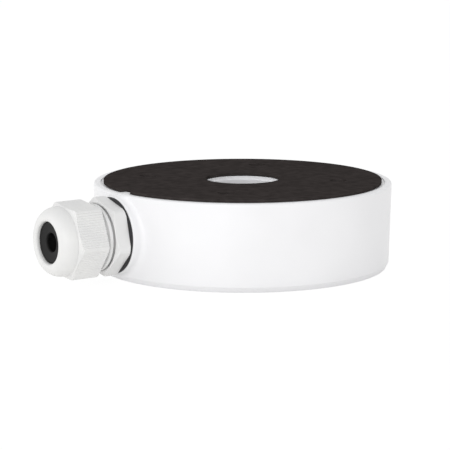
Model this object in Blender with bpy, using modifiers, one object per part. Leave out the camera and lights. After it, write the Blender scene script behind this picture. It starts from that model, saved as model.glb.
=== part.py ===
"""Camera junction box: a round die-cast box with a cable gland on its side.

It lies on its camera side, with the mat that presses on the wall on top. Metres, +Z up.
The gland points along -X. The origin is at the middle of the footprint, on the ground.
"""
import math

import bmesh
import bpy
from mathutils import Matrix, Vector

# Housing, a die casting
HOUSING_HEIGHT = 0.0363
RIM_RADIUS = 0.0635
WALL_DRAFT_DEG = 1.35
RIM_FILLET = 0.0009
BASE_FILLET = 0.0014
LIP_THICKNESS = 0.0027
LEDGE_WIDTH = 0.0020
CAVITY_DRAFT_DEG = 0.7
CAVITY_FILLET = 0.0020
WALL_PLATE_THICKNESS = 0.0030

# Recess in the wall side, and the key that turns the mat the right way round
RECESS_DEPTH = 0.0005
RIM_WIDTH = 0.0030
KEY_LENGTH = 0.0042
KEY_WIDTH = 0.0060
KEY_DROP = 0.0001

# Foam mat
MAT_THICKNESS = 0.0012
MAT_EDGE_CLEARANCE = 0.0012
MAT_KEY_CLEARANCE = 0.0006
MAT_SCREW_HOLE_RADIUS = 0.00375

# Cable hole through the wall plate, with a collar on its inner side
CABLE_HOLE_RADIUS = 0.0158
CABLE_HOLE_STEP = 0.0007
CABLE_HOLE_STEP_DEPTH = 0.0015
COLLAR_WALL = 0.0028
COLLAR_HEIGHT = 0.0040

# Screws into the wall
WALL_SCREW_COUNT = 4
WALL_SCREW_TURN_DEG = 45.0
WALL_SCREW_INSET = 0.0195
WALL_SCREW_HOLE_RADIUS = 0.0026
WALL_SCREW_PAD_RADIUS = 0.0055
WALL_SCREW_PAD_HEIGHT = 0.0015

# Stiffening ribs under the wall plate
RIB_ANGLES_DEG = (0.0, 90.0, 270.0)
RIB_THICKNESS = 0.0020
RIB_HEIGHT = 0.0030

# Camera plate, its rubber ring and its screws
PLATE_RECESS = 0.0006
PLATE_THICKNESS = 0.0025
PLATE_CLEARANCE = 0.0004
PLATE_HOLE_RADIUS = 0.0160
PLATE_COLLAR_WALL = 0.0020
PLATE_COLLAR_HEIGHT = 0.0025
PLATE_EDGE_CHAMFER = 0.0004
PLATE_SEAL_THICKNESS = 0.0012
PLATE_SCREW_COUNT = 4
PLATE_SCREW_TURN_DEG = 45.0
PLATE_SCREW_INSET = 0.0053
PLATE_SCREW_BOSS_RADIUS = 0.0045
PLATE_SCREW_WEB_WIDTH = 0.0063
PLATE_POCKET_FLOOR = 0.0016
PLATE_POCKET_WALL = 0.0010
PLATE_POCKET_CLEARANCE = 0.0004
CAMERA_HOLE_COUNT = 3
CAMERA_HOLE_INSETS = (0.0220, 0.0120)
CAMERA_HOLE_TURNS_DEG = (150.0, 210.0)
CAMERA_HOLE_RADIUS = 0.0017
CAMERA_BOSS_RADIUS = 0.0038
CAMERA_BOSS_HEIGHT = 0.0030

# Pan head screws with a cross recess, and their washers
SCREW_RADIUS = 0.0020
SCREW_LENGTH = 0.0120
SCREW_HEAD_RADIUS = 0.0035
SCREW_HEAD_HEIGHT = 0.0016
SCREW_HEAD_FILLET = 0.0008
SCREW_TIP_CHAMFER = 0.0007
CROSS_LENGTH = 0.0038
CROSS_WIDTH = 0.0009
CROSS_DEPTH = 0.0009
SCREW_WASHER_RADIUS = 0.0039
SCREW_WASHER_THICKNESS = 0.0006

# Earthing point under the wall plate
EARTH_INSET = 0.0154
EARTH_ANGLE_DEG = 67.5
EARTH_BOSS_RADIUS = 0.0042
EARTH_BOSS_HEIGHT = 0.0060
EARTH_SCREW_LENGTH = 0.0070
EARTH_WASHER_RADIUS = 0.0048
EARTH_WASHER_THICKNESS = 0.0008
SPRING_WASHER_RADIUS = 0.0036
SPRING_WASHER_THICKNESS = 0.0010
SPRING_WASHER_SPLIT = 0.0007
SPRING_WASHER_TURN_DEG = 20.0

# Side boss that the gland screws into
GLAND_HEIGHT = 0.01926
PAD_PROJECTION = 0.0017
BOSS_MARGIN = 0.00045
BOSS_EDGE_CHAMFER = 0.0003
THREADED_BOSS_WALL = 0.0015
THREADED_BOSS_DEPTH = 0.0097

# Gland, an M25 size: heights along its axis are measured from the boss's face
ENTRY_THREAD_RADIUS = 0.0125
ENTRY_THREAD_LENGTH = 0.0112
ENTRY_LEAD_CHAMFER = 0.0012
HEXAGON_WALL = 0.0020
HEX_CORNER_ROUNDING = 0.0008
GLAND_WASHER_THICKNESS = 0.0012
GLAND_WASHER_OVERHANG = 0.00125
FLANGE_THICKNESS = 0.0060
FLANGE_CHAMFER_HEIGHT = 0.0009
FLANGE_CHAMFER_WIDTH = 0.00045
FLANGE_BACK_CHAMFER = 0.0003
FLANGE_TURN_DEG = 14.6
GLAND_WALL = 0.0035
NECK_UNDERCUT = 0.0001
NECK_HEIGHT = 0.0010
STOP_RING_PROJECTION = 0.0009
STOP_RING_HEIGHT = 0.0010
NUT_THREAD_OVERSIZE = 0.0004
THREAD_RELIEF = 0.0006
NUT_THREAD_LENGTH = 0.0081
SEAL_SEAT_DEPTH = 0.0023
CLAW_HEIGHT = 0.0041
CLAW_WALL = 0.0009
CLAW_TAPER = 0.0006
CLAW_COUNT = 10
CLAW_SLOT_WIDTH = 0.0011

# Cap nut: rest is finger-tight, and it can still be screwed in or out
NUT_BACK_GAP = 0.0026
NUT_HEXAGON_HEIGHT = 0.0120
SHOULDER_CONE_HEIGHT = 0.0010
DOME_HEIGHT = 0.0065
NUT_TURN_DEG = 23.3
NUT_VALLEY_INSET = 0.0002
DOME_BASE_OVERHANG = 0.0001
MOUTH_INSET = 0.00012
MOUTH_EDGE_DROP = 0.0007
LIP_WIDTH = 0.0010
DOME_ROUNDNESS = 2.4
GRIP_GROOVES_PER_FACE = 14
GRIP_GROOVE_DEPTH = 0.00028
GRIP_MARGIN = 0.0014
MOUTH_DEPTH = 0.0019
NUT_CONE_HEIGHT = 0.0044

# Rubber seal in the claws
SEAL_WALL = 0.0016
SEAL_BACK_ROOM = 0.0018
SEAL_FACE_DEPTH = 0.0018
SEAL_NOSE_HEIGHT = 0.0004
SEAL_CONE_HEIGHT = 0.0024
SEAL_HOLE_RADIUS = 0.00395
SEAL_DISH_DEPTH = 0.0015
SEAL_FLARE_RADIUS = 0.0070
SEAL_FLARE_HEIGHT = 0.0035

# Gap between pieces that touch, and the gap beside a thread
SEAT_GAP = 0.0003
THREAD_GAP = 0.0003

# How finely round shapes are divided
LARGE_STEPS = 60
MEDIUM_STEPS = 36
SMALL_STEPS = 16
FILLET_STEPS = 3
DOME_STEPS = 7
MERGE_DISTANCE = 0.000005
OVERCUT = 0.0010
SMOOTH_ANGLE_DEG = 32.0

# Sizes that follow from the ones above
BASE_RADIUS = RIM_RADIUS - HOUSING_HEIGHT * math.tan(math.radians(WALL_DRAFT_DEG))
OPENING_RADIUS = BASE_RADIUS - LIP_THICKNESS
CAVITY_RADIUS = OPENING_RADIUS - LEDGE_WIDTH
RECESS_RADIUS = RIM_RADIUS - RIM_WIDTH
RECESS_FLOOR = HOUSING_HEIGHT - RECESS_DEPTH
CEILING = RECESS_FLOOR - WALL_PLATE_THICKNESS
COLLAR_RADIUS = CABLE_HOLE_RADIUS + COLLAR_WALL
PLATE_TOP = PLATE_RECESS + PLATE_THICKNESS
LEDGE = PLATE_TOP + PLATE_SEAL_THICKNESS + 2 * SEAT_GAP
FLANGE_BACK = GLAND_WASHER_THICKNESS + 2 * SEAT_GAP
FLANGE_FRONT = FLANGE_BACK + FLANGE_THICKNESS
STOP_RING_BACK = FLANGE_FRONT + NECK_HEIGHT
STOP_RING_FRONT = STOP_RING_BACK + STOP_RING_HEIGHT
HALF_FLAT = ENTRY_THREAD_RADIUS + HEXAGON_WALL
CORNER_RADIUS = 2 * HALF_FLAT / math.sqrt(3)
GLAND_BORE_RADIUS = ENTRY_THREAD_RADIUS - GLAND_WALL
NECK_RADIUS = ENTRY_THREAD_RADIUS - NECK_UNDERCUT
NUT_THREAD_RADIUS = ENTRY_THREAD_RADIUS + NUT_THREAD_OVERSIZE
STOP_RING_RADIUS = NUT_THREAD_RADIUS + STOP_RING_PROJECTION
NUT_BORE_RADIUS = NUT_THREAD_RADIUS + THREAD_GAP
SEAL_RADIUS = GLAND_BORE_RADIUS + SEAL_WALL
CLAW_INNER_RADIUS = SEAL_RADIUS + SEAT_GAP
CLAW_TIP_RADIUS = CLAW_INNER_RADIUS + CLAW_WALL
CLAW_ROOT_RADIUS = CLAW_TIP_RADIUS + CLAW_TAPER
MOUTH_RADIUS = GLAND_BORE_RADIUS - MOUTH_INSET
NUT_VALLEY_RADIUS = HALF_FLAT - NUT_VALLEY_INSET
DOME_BASE_RADIUS = HALF_FLAT + DOME_BASE_OVERHANG
NUT_BACK = STOP_RING_FRONT + NUT_BACK_GAP
NUT_SHOULDER = NUT_BACK + NUT_HEXAGON_HEIGHT
NUT_VALLEY = NUT_SHOULDER + SHOULDER_CONE_HEIGHT
NUT_FRONT = NUT_VALLEY + DOME_HEIGHT
NUT_CONE_FRONT = NUT_FRONT - MOUTH_DEPTH
NUT_CONE_BACK = NUT_CONE_FRONT - NUT_CONE_HEIGHT
THREAD_TOP = NUT_BACK + NUT_THREAD_LENGTH
SEAL_SEAT = THREAD_TOP - SEAL_SEAT_DEPTH
SEAL_BACK = SEAL_SEAT + SEAL_BACK_ROOM
SEAL_FACE = NUT_FRONT - SEAL_FACE_DEPTH
SEAL_NOSE = SEAL_FACE - SEAL_NOSE_HEIGHT
SEAL_SHOULDER = SEAL_NOSE - SEAL_CONE_HEIGHT
CLAW_TIP = THREAD_TOP + CLAW_HEIGHT
GLAND_WASHER_RADIUS = HALF_FLAT + GLAND_WASHER_OVERHANG
BOSS_RADIUS = GLAND_WASHER_RADIUS + BOSS_MARGIN
THREADED_BOSS_RADIUS = ENTRY_THREAD_RADIUS + THREADED_BOSS_WALL
PAD_DISTANCE = RIM_RADIUS + PAD_PROJECTION
WALL_SCREW_CIRCLE_RADIUS = RECESS_RADIUS - WALL_SCREW_INSET
PLATE_SCREW_CIRCLE_RADIUS = CAVITY_RADIUS - PLATE_SCREW_INSET
EARTH_CIRCLE_RADIUS = COLLAR_RADIUS + EARTH_INSET
AXIS_X = (PAD_DISTANCE + NUT_FRONT - RIM_RADIUS) / 2


def clear_scene():
    for old in list(bpy.data.objects):
        bpy.data.objects.remove(old, do_unlink=True)


def new_collection(name):
    collection = bpy.data.collections.new(name)
    bpy.context.scene.collection.children.link(collection)
    return collection


def material(name, color, roughness, metallic=0.0):
    """Principled material; color is linear red, green and blue."""
    made = bpy.data.materials.new(name)
    made.use_nodes = True
    shader = made.node_tree.nodes["Principled BSDF"]
    shader.inputs["Base Color"].default_value = (*color, 1.0)
    shader.inputs["Roughness"].default_value = roughness
    shader.inputs["Metallic"].default_value = metallic
    made.diffuse_color = (*color, 1.0)
    return made


def empty(name, location, turn=(0.0, 0.0, 0.0), parent=None):
    made = bpy.data.objects.new(name, None)
    parts.objects.link(made)
    made.location = location
    made.rotation_euler = turn
    made.parent = parent
    return made


def place(name, mesh, parent, collection):
    made = bpy.data.objects.new(name, mesh)
    collection.objects.link(made)
    made.parent = parent
    return made


def settle(made):
    """Give the object its evaluated shape as its own mesh, with its faces pointing out."""
    bpy.context.view_layer.update()
    graph = bpy.context.evaluated_depsgraph_get()
    mesh = bpy.data.meshes.new_from_object(made.evaluated_get(graph))
    mesh.name = made.name
    shape = bmesh.new()
    shape.from_mesh(mesh)
    bmesh.ops.remove_doubles(shape, verts=shape.verts, dist=MERGE_DISTANCE)
    bmesh.ops.recalc_face_normals(shape, faces=shape.faces)
    shape.to_mesh(mesh)
    shape.free()
    made.modifiers.clear()
    made.data = mesh
    return made


def finish(made, surface):
    """Settle a finished piece, shade it smooth and give it its material."""
    settle(made)
    made.data.materials.clear()
    made.data.materials.append(surface)
    made.data.shade_smooth()
    made.data.set_sharp_from_angle(angle=math.radians(SMOOTH_ANGLE_DEG))
    return made


def arc(center, radius, start_deg, end_deg, steps):
    """Points (r, z) on an arc; angles run from +r towards +z."""
    points = []
    for step in range(steps + 1):
        angle = math.radians(start_deg + (end_deg - start_deg) * step / steps)
        points.append((center[0] + radius * math.cos(angle), center[1] + radius * math.sin(angle)))
    return points


def turned(name, profile, steps, parent, collection=None):
    """Turn an outline (r, z) about the parent's Z axis.

    A profile that starts and ends on the axis is a solid; any other is closed into a ring.
    """
    on_axis = profile[0][0] == 0.0 and profile[-1][0] == 0.0
    links = [(index, index + 1) for index in range(len(profile) - 1)]
    if not on_axis:
        links.append((len(profile) - 1, 0))
    mesh = bpy.data.meshes.new(name)
    mesh.from_pydata([(r, 0.0, z) for r, z in profile], links, [])
    made = place(name, mesh, parent, collection or cutters)
    screw = made.modifiers.new("turn", "SCREW")
    screw.steps = steps
    screw.render_steps = steps
    screw.use_merge_vertices = True
    screw.merge_threshold = MERGE_DISTANCE
    return settle(made)


def rod(name, radius, low, high, steps, parent, at=(0.0, 0.0), collection=None):
    """Round bar along the parent's Z axis from low to high."""
    shape = bmesh.new()
    middle = Matrix.Translation((at[0], at[1], (low + high) / 2))
    bmesh.ops.create_cone(
        shape, cap_ends=True, segments=steps, radius1=radius, radius2=radius, depth=high - low, matrix=middle
    )
    mesh = bpy.data.meshes.new(name)
    shape.to_mesh(mesh)
    shape.free()
    return place(name, mesh, parent, collection or cutters)


def block(name, low, high, turn_deg, parent, collection=None):
    """Box between two corners, turned about the parent's Z axis."""
    shape = bmesh.new()
    bmesh.ops.create_cube(shape, size=1.0)
    size = Vector(high) - Vector(low)
    middle = (Vector(high) + Vector(low)) / 2
    bmesh.ops.scale(shape, vec=size, verts=shape.verts)
    bmesh.ops.translate(shape, vec=middle, verts=shape.verts)
    turn = Matrix.Rotation(math.radians(turn_deg), 3, "Z")
    bmesh.ops.rotate(shape, cent=(0.0, 0.0, 0.0), matrix=turn, verts=shape.verts)
    mesh = bpy.data.meshes.new(name)
    shape.to_mesh(mesh)
    shape.free()
    return place(name, mesh, parent, collection or cutters)


def prism(name, outline, low, high, parent, collection=None):
    """Flat outline of (x, y) points, drawn up from low to high."""
    shape = bmesh.new()
    face = shape.faces.new([shape.verts.new((x, y, low)) for x, y in outline])
    grown = bmesh.ops.extrude_face_region(shape, geom=[face])
    raised = [item for item in grown["geom"] if isinstance(item, bmesh.types.BMVert)]
    bmesh.ops.translate(shape, vec=(0.0, 0.0, high - low), verts=raised)
    bmesh.ops.recalc_face_normals(shape, faces=shape.faces)
    mesh = bpy.data.meshes.new(name)
    shape.to_mesh(mesh)
    shape.free()
    return place(name, mesh, parent, collection or cutters)


def combine(made, tools, operation):
    """Add one Boolean modifier for each tool, then settle the object."""
    for tool in tools:
        tool.hide_render = True
        tool.display_type = "WIRE"
        step = made.modifiers.new(tool.name, "BOOLEAN")
        step.operation = operation
        step.solver = "EXACT"
        step.object = tool
    return settle(made)


def on_circle(radius, angle_deg):
    angle = math.radians(angle_deg)
    return (radius * math.cos(angle), radius * math.sin(angle))


def spread(count, first_deg):
    return [first_deg + 360.0 * index / count for index in range(count)]


def housing_body():
    """The turned pot: rim and recess on top, drafted wall, open camera side, collar in the middle."""
    ceiling_radius = CAVITY_RADIUS - (CEILING - LEDGE) * math.tan(math.radians(CAVITY_DRAFT_DEG))
    collar_end = CEILING - COLLAR_HEIGHT
    step_z = RECESS_FLOOR - CABLE_HOLE_STEP_DEPTH
    inner_hole = CABLE_HOLE_RADIUS - CABLE_HOLE_STEP
    profile = [(RECESS_RADIUS, HOUSING_HEIGHT)]
    rim_center = (RIM_RADIUS - RIM_FILLET, HOUSING_HEIGHT - RIM_FILLET)
    profile += arc(rim_center, RIM_FILLET, 90, 0, FILLET_STEPS)
    profile += arc((BASE_RADIUS - BASE_FILLET, BASE_FILLET), BASE_FILLET, 0, -90, FILLET_STEPS)
    profile += [(OPENING_RADIUS, 0.0), (OPENING_RADIUS, LEDGE), (CAVITY_RADIUS, LEDGE)]
    corner = (ceiling_radius - CAVITY_FILLET, CEILING - CAVITY_FILLET)
    profile += arc(corner, CAVITY_FILLET, 0, 90, FILLET_STEPS)
    profile += [(COLLAR_RADIUS, CEILING), (COLLAR_RADIUS, collar_end), (inner_hole, collar_end)]
    profile += [(inner_hole, step_z), (CABLE_HOLE_RADIUS, step_z), (CABLE_HOLE_RADIUS, RECESS_FLOOR)]
    profile += [(RECESS_RADIUS, RECESS_FLOOR)]
    return turned("housing", profile, LARGE_STEPS, box_axis, parts)


def housing_additions():
    """Bosses, pads, ribs and the key that the casting carries."""
    into_plate = CEILING + WALL_PLATE_THICKNESS / 2
    added = []
    boss_root = math.sqrt(BASE_RADIUS**2 - BOSS_RADIUS**2) - OVERCUT - PAD_DISTANCE
    boss = [(0.0, 0.0), (BOSS_RADIUS - BOSS_EDGE_CHAMFER, 0.0)]
    boss += [(BOSS_RADIUS, -BOSS_EDGE_CHAMFER), (BOSS_RADIUS, boss_root), (0.0, boss_root)]
    seat = OPENING_RADIUS + SEAT_GAP
    opening = rod("opening_under_boss", seat, -OVERCUT, LEDGE + SEAT_GAP, LARGE_STEPS, box_axis)
    added.append(combine(turned("gland_boss", boss, MEDIUM_STEPS, gland_axis), [opening], "DIFFERENCE"))
    outer_end = boss_root + OVERCUT / 2
    sleeve = rod(
        "threaded_boss", THREADED_BOSS_RADIUS, -THREADED_BOSS_DEPTH, outer_end, MEDIUM_STEPS, gland_axis
    )
    added.append(combine(sleeve, [opening], "DIFFERENCE"))
    for number, angle in enumerate(spread(PLATE_SCREW_COUNT, PLATE_SCREW_TURN_DEG), 1):
        at = on_circle(PLATE_SCREW_CIRCLE_RADIUS, angle)
        added.append(
            rod(f"screw_boss_{number}", PLATE_SCREW_BOSS_RADIUS, LEDGE, into_plate, SMALL_STEPS, box_axis, at)
        )
        low = (PLATE_SCREW_CIRCLE_RADIUS, -PLATE_SCREW_WEB_WIDTH / 2, LEDGE + OVERCUT)
        high = (CAVITY_RADIUS + LEDGE_WIDTH / 2, PLATE_SCREW_WEB_WIDTH / 2, into_plate)
        added.append(block(f"screw_web_{number}", low, high, angle, box_axis))
    for number, angle in enumerate(spread(WALL_SCREW_COUNT, WALL_SCREW_TURN_DEG), 1):
        at = on_circle(WALL_SCREW_CIRCLE_RADIUS, angle)
        low = CEILING - WALL_SCREW_PAD_HEIGHT
        added.append(
            rod(f"wall_screw_pad_{number}", WALL_SCREW_PAD_RADIUS, low, into_plate, SMALL_STEPS, box_axis, at)
        )
    for number, angle in enumerate(RIB_ANGLES_DEG, 1):
        low = (COLLAR_RADIUS - COLLAR_WALL / 2, -RIB_THICKNESS / 2, CEILING - RIB_HEIGHT)
        high = (CAVITY_RADIUS + LEDGE_WIDTH / 2, RIB_THICKNESS / 2, into_plate)
        added.append(block(f"rib_{number}", low, high, angle, box_axis))
    at = on_circle(EARTH_CIRCLE_RADIUS, EARTH_ANGLE_DEG)
    low = CEILING - EARTH_BOSS_HEIGHT
    added.append(rod("earth_boss", EARTH_BOSS_RADIUS, low, into_plate, SMALL_STEPS, box_axis, at))
    low = (RECESS_RADIUS - KEY_LENGTH, -KEY_WIDTH / 2, RECESS_FLOOR - WALL_PLATE_THICKNESS / 2)
    high = (RECESS_RADIUS + RIM_WIDTH / 2, KEY_WIDTH / 2, HOUSING_HEIGHT - KEY_DROP)
    added.append(block("mat_key", low, high, 180.0, box_axis))
    return added


def housing_holes():
    """The gland's entry, the wall screw holes and the tapped holes."""
    holes = []
    entry_radius = ENTRY_THREAD_RADIUS + THREAD_GAP
    inner_end = -THREADED_BOSS_DEPTH - OVERCUT
    holes.append(rod("gland_entry", entry_radius, inner_end, OVERCUT, MEDIUM_STEPS, gland_axis))
    for number, angle in enumerate(spread(WALL_SCREW_COUNT, WALL_SCREW_TURN_DEG), 1):
        at = on_circle(WALL_SCREW_CIRCLE_RADIUS, angle)
        low = CEILING - WALL_SCREW_PAD_HEIGHT - OVERCUT
        high = HOUSING_HEIGHT + OVERCUT
        holes.append(
            rod(f"wall_screw_hole_{number}", WALL_SCREW_HOLE_RADIUS, low, high, SMALL_STEPS, box_axis, at)
        )
    tapped = SCREW_RADIUS + THREAD_GAP
    for number, angle in enumerate(spread(PLATE_SCREW_COUNT, PLATE_SCREW_TURN_DEG), 1):
        at = on_circle(PLATE_SCREW_CIRCLE_RADIUS, angle)
        high = screw_head_top() + SCREW_LENGTH + OVERCUT
        holes.append(rod(f"tapped_hole_{number}", tapped, LEDGE - OVERCUT, high, SMALL_STEPS, box_axis, at))
    at = on_circle(EARTH_CIRCLE_RADIUS, EARTH_ANGLE_DEG)
    low = CEILING - EARTH_BOSS_HEIGHT - OVERCUT
    high = earth_head_top() + EARTH_SCREW_LENGTH + OVERCUT / 2
    holes.append(rod("earth_hole", tapped, low, high, SMALL_STEPS, box_axis, at))
    return holes


def make_housing(surface):
    made = housing_body()
    combine(made, housing_additions(), "UNION")
    combine(made, housing_holes(), "DIFFERENCE")
    finish(made, surface)


def make_mat(surface):
    low = RECESS_FLOOR + SEAT_GAP
    high = low + MAT_THICKNESS
    radius = RECESS_RADIUS - MAT_EDGE_CLEARANCE
    made = rod("wall_mat", radius, low, high, LARGE_STEPS, box_axis, (0.0, 0.0), parts)
    holes = [rod("mat_cable_hole", CABLE_HOLE_RADIUS, low - OVERCUT, high + OVERCUT, MEDIUM_STEPS, box_axis)]
    for number, angle in enumerate(spread(WALL_SCREW_COUNT, WALL_SCREW_TURN_DEG), 1):
        at = on_circle(WALL_SCREW_CIRCLE_RADIUS, angle)
        holes.append(
            rod(
                f"mat_screw_hole_{number}", MAT_SCREW_HOLE_RADIUS, low - OVERCUT, high + OVERCUT, SMALL_STEPS,
                box_axis, at,
            )
        )
    half_width = KEY_WIDTH / 2 + MAT_KEY_CLEARANCE
    inner = RECESS_RADIUS - KEY_LENGTH - MAT_KEY_CLEARANCE
    corner = (inner, -half_width, low - OVERCUT)
    holes.append(block("mat_notch", corner, (RIM_RADIUS, half_width, high + OVERCUT), 180.0, box_axis))
    combine(made, holes, "DIFFERENCE")
    finish(made, surface)


def pocket_floor():
    """Height of the face that a plate screw's washer lies under."""
    return LEDGE - SEAT_GAP - PLATE_POCKET_FLOOR


def screw_head_top():
    """Height of the underside of a plate screw's head, which faces up."""
    return pocket_floor() - SCREW_WASHER_THICKNESS - 2 * SEAT_GAP


def earth_head_top():
    stack = EARTH_WASHER_THICKNESS + SPRING_WASHER_THICKNESS + 3 * SEAT_GAP
    return CEILING - EARTH_BOSS_HEIGHT - stack


def make_camera_plate(surface):
    radius = OPENING_RADIUS - PLATE_CLEARANCE
    collar_top = PLATE_TOP + PLATE_COLLAR_HEIGHT
    collar_radius = PLATE_HOLE_RADIUS + PLATE_COLLAR_WALL
    profile = [(PLATE_HOLE_RADIUS, collar_top), (collar_radius, collar_top), (collar_radius, PLATE_TOP)]
    profile += [(radius, PLATE_TOP), (radius, PLATE_RECESS + PLATE_EDGE_CHAMFER)]
    profile += [(radius - PLATE_EDGE_CHAMFER, PLATE_RECESS), (PLATE_HOLE_RADIUS, PLATE_RECESS)]
    made = turned("camera_plate", profile, LARGE_STEPS, box_axis, parts)
    pocket_radius = SCREW_WASHER_RADIUS + PLATE_POCKET_CLEARANCE
    inside_plate = PLATE_RECESS + PLATE_THICKNESS / 2
    added = []
    holes = []
    for number, angle in enumerate(spread(PLATE_SCREW_COUNT, PLATE_SCREW_TURN_DEG), 1):
        at = on_circle(PLATE_SCREW_CIRCLE_RADIUS, angle)
        outer = pocket_radius + PLATE_POCKET_WALL
        added.append(rod(f"pocket_{number}", outer, inside_plate, LEDGE - SEAT_GAP, SMALL_STEPS, box_axis, at))
        holes.append(
            rod(f"pocket_bore_{number}", pocket_radius, -OVERCUT, pocket_floor(), SMALL_STEPS, box_axis, at)
        )
        holes.append(
            rod(f"screw_bore_{number}", SCREW_RADIUS + THREAD_GAP, -OVERCUT, LEDGE, SMALL_STEPS, box_axis, at)
        )
    for ring, (inset, turn) in enumerate(zip(CAMERA_HOLE_INSETS, CAMERA_HOLE_TURNS_DEG), 1):
        circle = PLATE_SCREW_CIRCLE_RADIUS - inset
        for number, angle in enumerate(spread(CAMERA_HOLE_COUNT, turn), 1):
            at = on_circle(circle, angle)
            top = PLATE_TOP + CAMERA_BOSS_HEIGHT
            added.append(
                rod(f"camera_boss_{ring}_{number}", CAMERA_BOSS_RADIUS, inside_plate, top, SMALL_STEPS,
                    box_axis, at)
            )
            holes.append(
                rod(f"camera_hole_{ring}_{number}", CAMERA_HOLE_RADIUS, -OVERCUT, top + OVERCUT, SMALL_STEPS,
                    box_axis, at)
            )
    combine(made, added, "UNION")
    combine(made, holes, "DIFFERENCE")
    finish(made, surface)


def make_plate_seal(surface):
    outer = OPENING_RADIUS - SEAT_GAP
    inner = CAVITY_RADIUS + SEAT_GAP
    low = PLATE_TOP + SEAT_GAP
    high = low + PLATE_SEAL_THICKNESS
    profile = [(inner, high), (outer, high), (outer, low), (inner, low)]
    finish(turned("plate_seal", profile, LARGE_STEPS, box_axis, parts), surface)


def pan_screw(name, at, head_top, length, surface):
    """Screw that points up, with its head below head_top and a cross recess in the head."""
    spot = empty(name + "_axis", (at[0], at[1], head_top), parent=box_axis)
    profile = [(0.0, length), (SCREW_RADIUS - SCREW_TIP_CHAMFER, length)]
    profile += [(SCREW_RADIUS, length - SCREW_TIP_CHAMFER), (SCREW_RADIUS, 0.0), (SCREW_HEAD_RADIUS, 0.0)]
    fillet_center = (SCREW_HEAD_RADIUS - SCREW_HEAD_FILLET, SCREW_HEAD_FILLET - SCREW_HEAD_HEIGHT)
    profile += arc(fillet_center, SCREW_HEAD_FILLET, 0, -90, FILLET_STEPS)
    profile += [(0.0, -SCREW_HEAD_HEIGHT)]
    made = turned(name, profile, SMALL_STEPS, spot, parts)
    slots = []
    for number, turn in enumerate((0.0, 90.0), 1):
        low = (-CROSS_LENGTH / 2, -CROSS_WIDTH / 2, -SCREW_HEAD_HEIGHT - OVERCUT)
        high = (CROSS_LENGTH / 2, CROSS_WIDTH / 2, CROSS_DEPTH - SCREW_HEAD_HEIGHT)
        slots.append(block(f"{name}_slot_{number}", low, high, turn, spot))
    combine(made, slots, "DIFFERENCE")
    return finish(made, surface)


def flat_ring(name, at, inner, outer, low, high, surface):
    spot = empty(name + "_axis", (at[0], at[1], low), parent=box_axis)
    thickness = high - low
    profile = [(inner, thickness), (outer, thickness), (outer, 0.0), (inner, 0.0)]
    return finish(turned(name, profile, SMALL_STEPS, spot, parts), surface)


def make_plate_screws(steel, rubber):
    for number, angle in enumerate(spread(PLATE_SCREW_COUNT, PLATE_SCREW_TURN_DEG), 1):
        at = on_circle(PLATE_SCREW_CIRCLE_RADIUS, angle)
        pan_screw(f"plate_screw_{number}", at, screw_head_top(), SCREW_LENGTH, steel)
        high = pocket_floor() - SEAT_GAP
        low = high - SCREW_WASHER_THICKNESS
        inner = SCREW_RADIUS + THREAD_GAP
        flat_ring(f"plate_screw_washer_{number}", at, inner, SCREW_WASHER_RADIUS, low, high, rubber)


def make_earth_point(steel, brass):
    at = on_circle(EARTH_CIRCLE_RADIUS, EARTH_ANGLE_DEG)
    inner = SCREW_RADIUS + THREAD_GAP
    pan_screw("earth_screw", at, earth_head_top(), EARTH_SCREW_LENGTH, steel)
    high = CEILING - EARTH_BOSS_HEIGHT - SEAT_GAP
    low = high - EARTH_WASHER_THICKNESS
    flat_ring("earth_washer", at, inner, EARTH_WASHER_RADIUS, low, high, brass)
    high = low - SEAT_GAP
    low = high - SPRING_WASHER_THICKNESS
    made = flat_ring("earth_spring_washer", at, inner, SPRING_WASHER_RADIUS, low, high, steel)
    corner = (0.0, -SPRING_WASHER_SPLIT / 2, -OVERCUT)
    opposite = (SPRING_WASHER_RADIUS + OVERCUT, SPRING_WASHER_SPLIT / 2, SPRING_WASHER_THICKNESS + OVERCUT)
    split = block("spring_washer_split", corner, opposite, SPRING_WASHER_TURN_DEG, made.parent)
    combine(made, [split], "DIFFERENCE")
    finish(made, steel)


def hexagon(corner_radius, turn_deg, rounding):
    """Outline of a hexagon with rounded corners, as (x, y) points."""
    points = []
    inset = rounding / math.cos(math.radians(30.0))
    for angle in spread(6, turn_deg):
        center = on_circle(corner_radius - inset, angle)
        for step in (-1, 0, 1):
            offset = on_circle(rounding, angle + 30.0 * step)
            points.append((center[0] + offset[0], center[1] + offset[1]))
    return points


def grooved_hexagon(turn_deg):
    """Hexagon with grip grooves across each flat, as (x, y) points."""
    points = []
    corners = hexagon(CORNER_RADIUS, turn_deg, HEX_CORNER_ROUNDING)
    half_run = CORNER_RADIUS / 2 - GRIP_MARGIN
    pitch = 2 * half_run / GRIP_GROOVES_PER_FACE
    for side in range(6):
        points += corners[3 * side:3 * side + 3]
        normal = Vector(on_circle(1.0, turn_deg + 60.0 * side + 30.0))
        along = Vector((-normal.y, normal.x))
        for groove in range(GRIP_GROOVES_PER_FACE):
            start = -half_run + pitch * groove
            points.append(tuple(normal * HALF_FLAT + along * start))
            points.append(tuple(normal * (HALF_FLAT - GRIP_GROOVE_DEPTH) + along * (start + pitch / 2)))
        points.append(tuple(normal * HALF_FLAT + along * half_run))
    return points


def make_gland_washer(surface):
    inner = ENTRY_THREAD_RADIUS + THREAD_GAP
    low = SEAT_GAP
    high = low + GLAND_WASHER_THICKNESS
    profile = [(inner, high), (GLAND_WASHER_RADIUS, high), (GLAND_WASHER_RADIUS, low), (inner, low)]
    finish(turned("gland_washer", profile, MEDIUM_STEPS, gland_axis, parts), surface)


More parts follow.
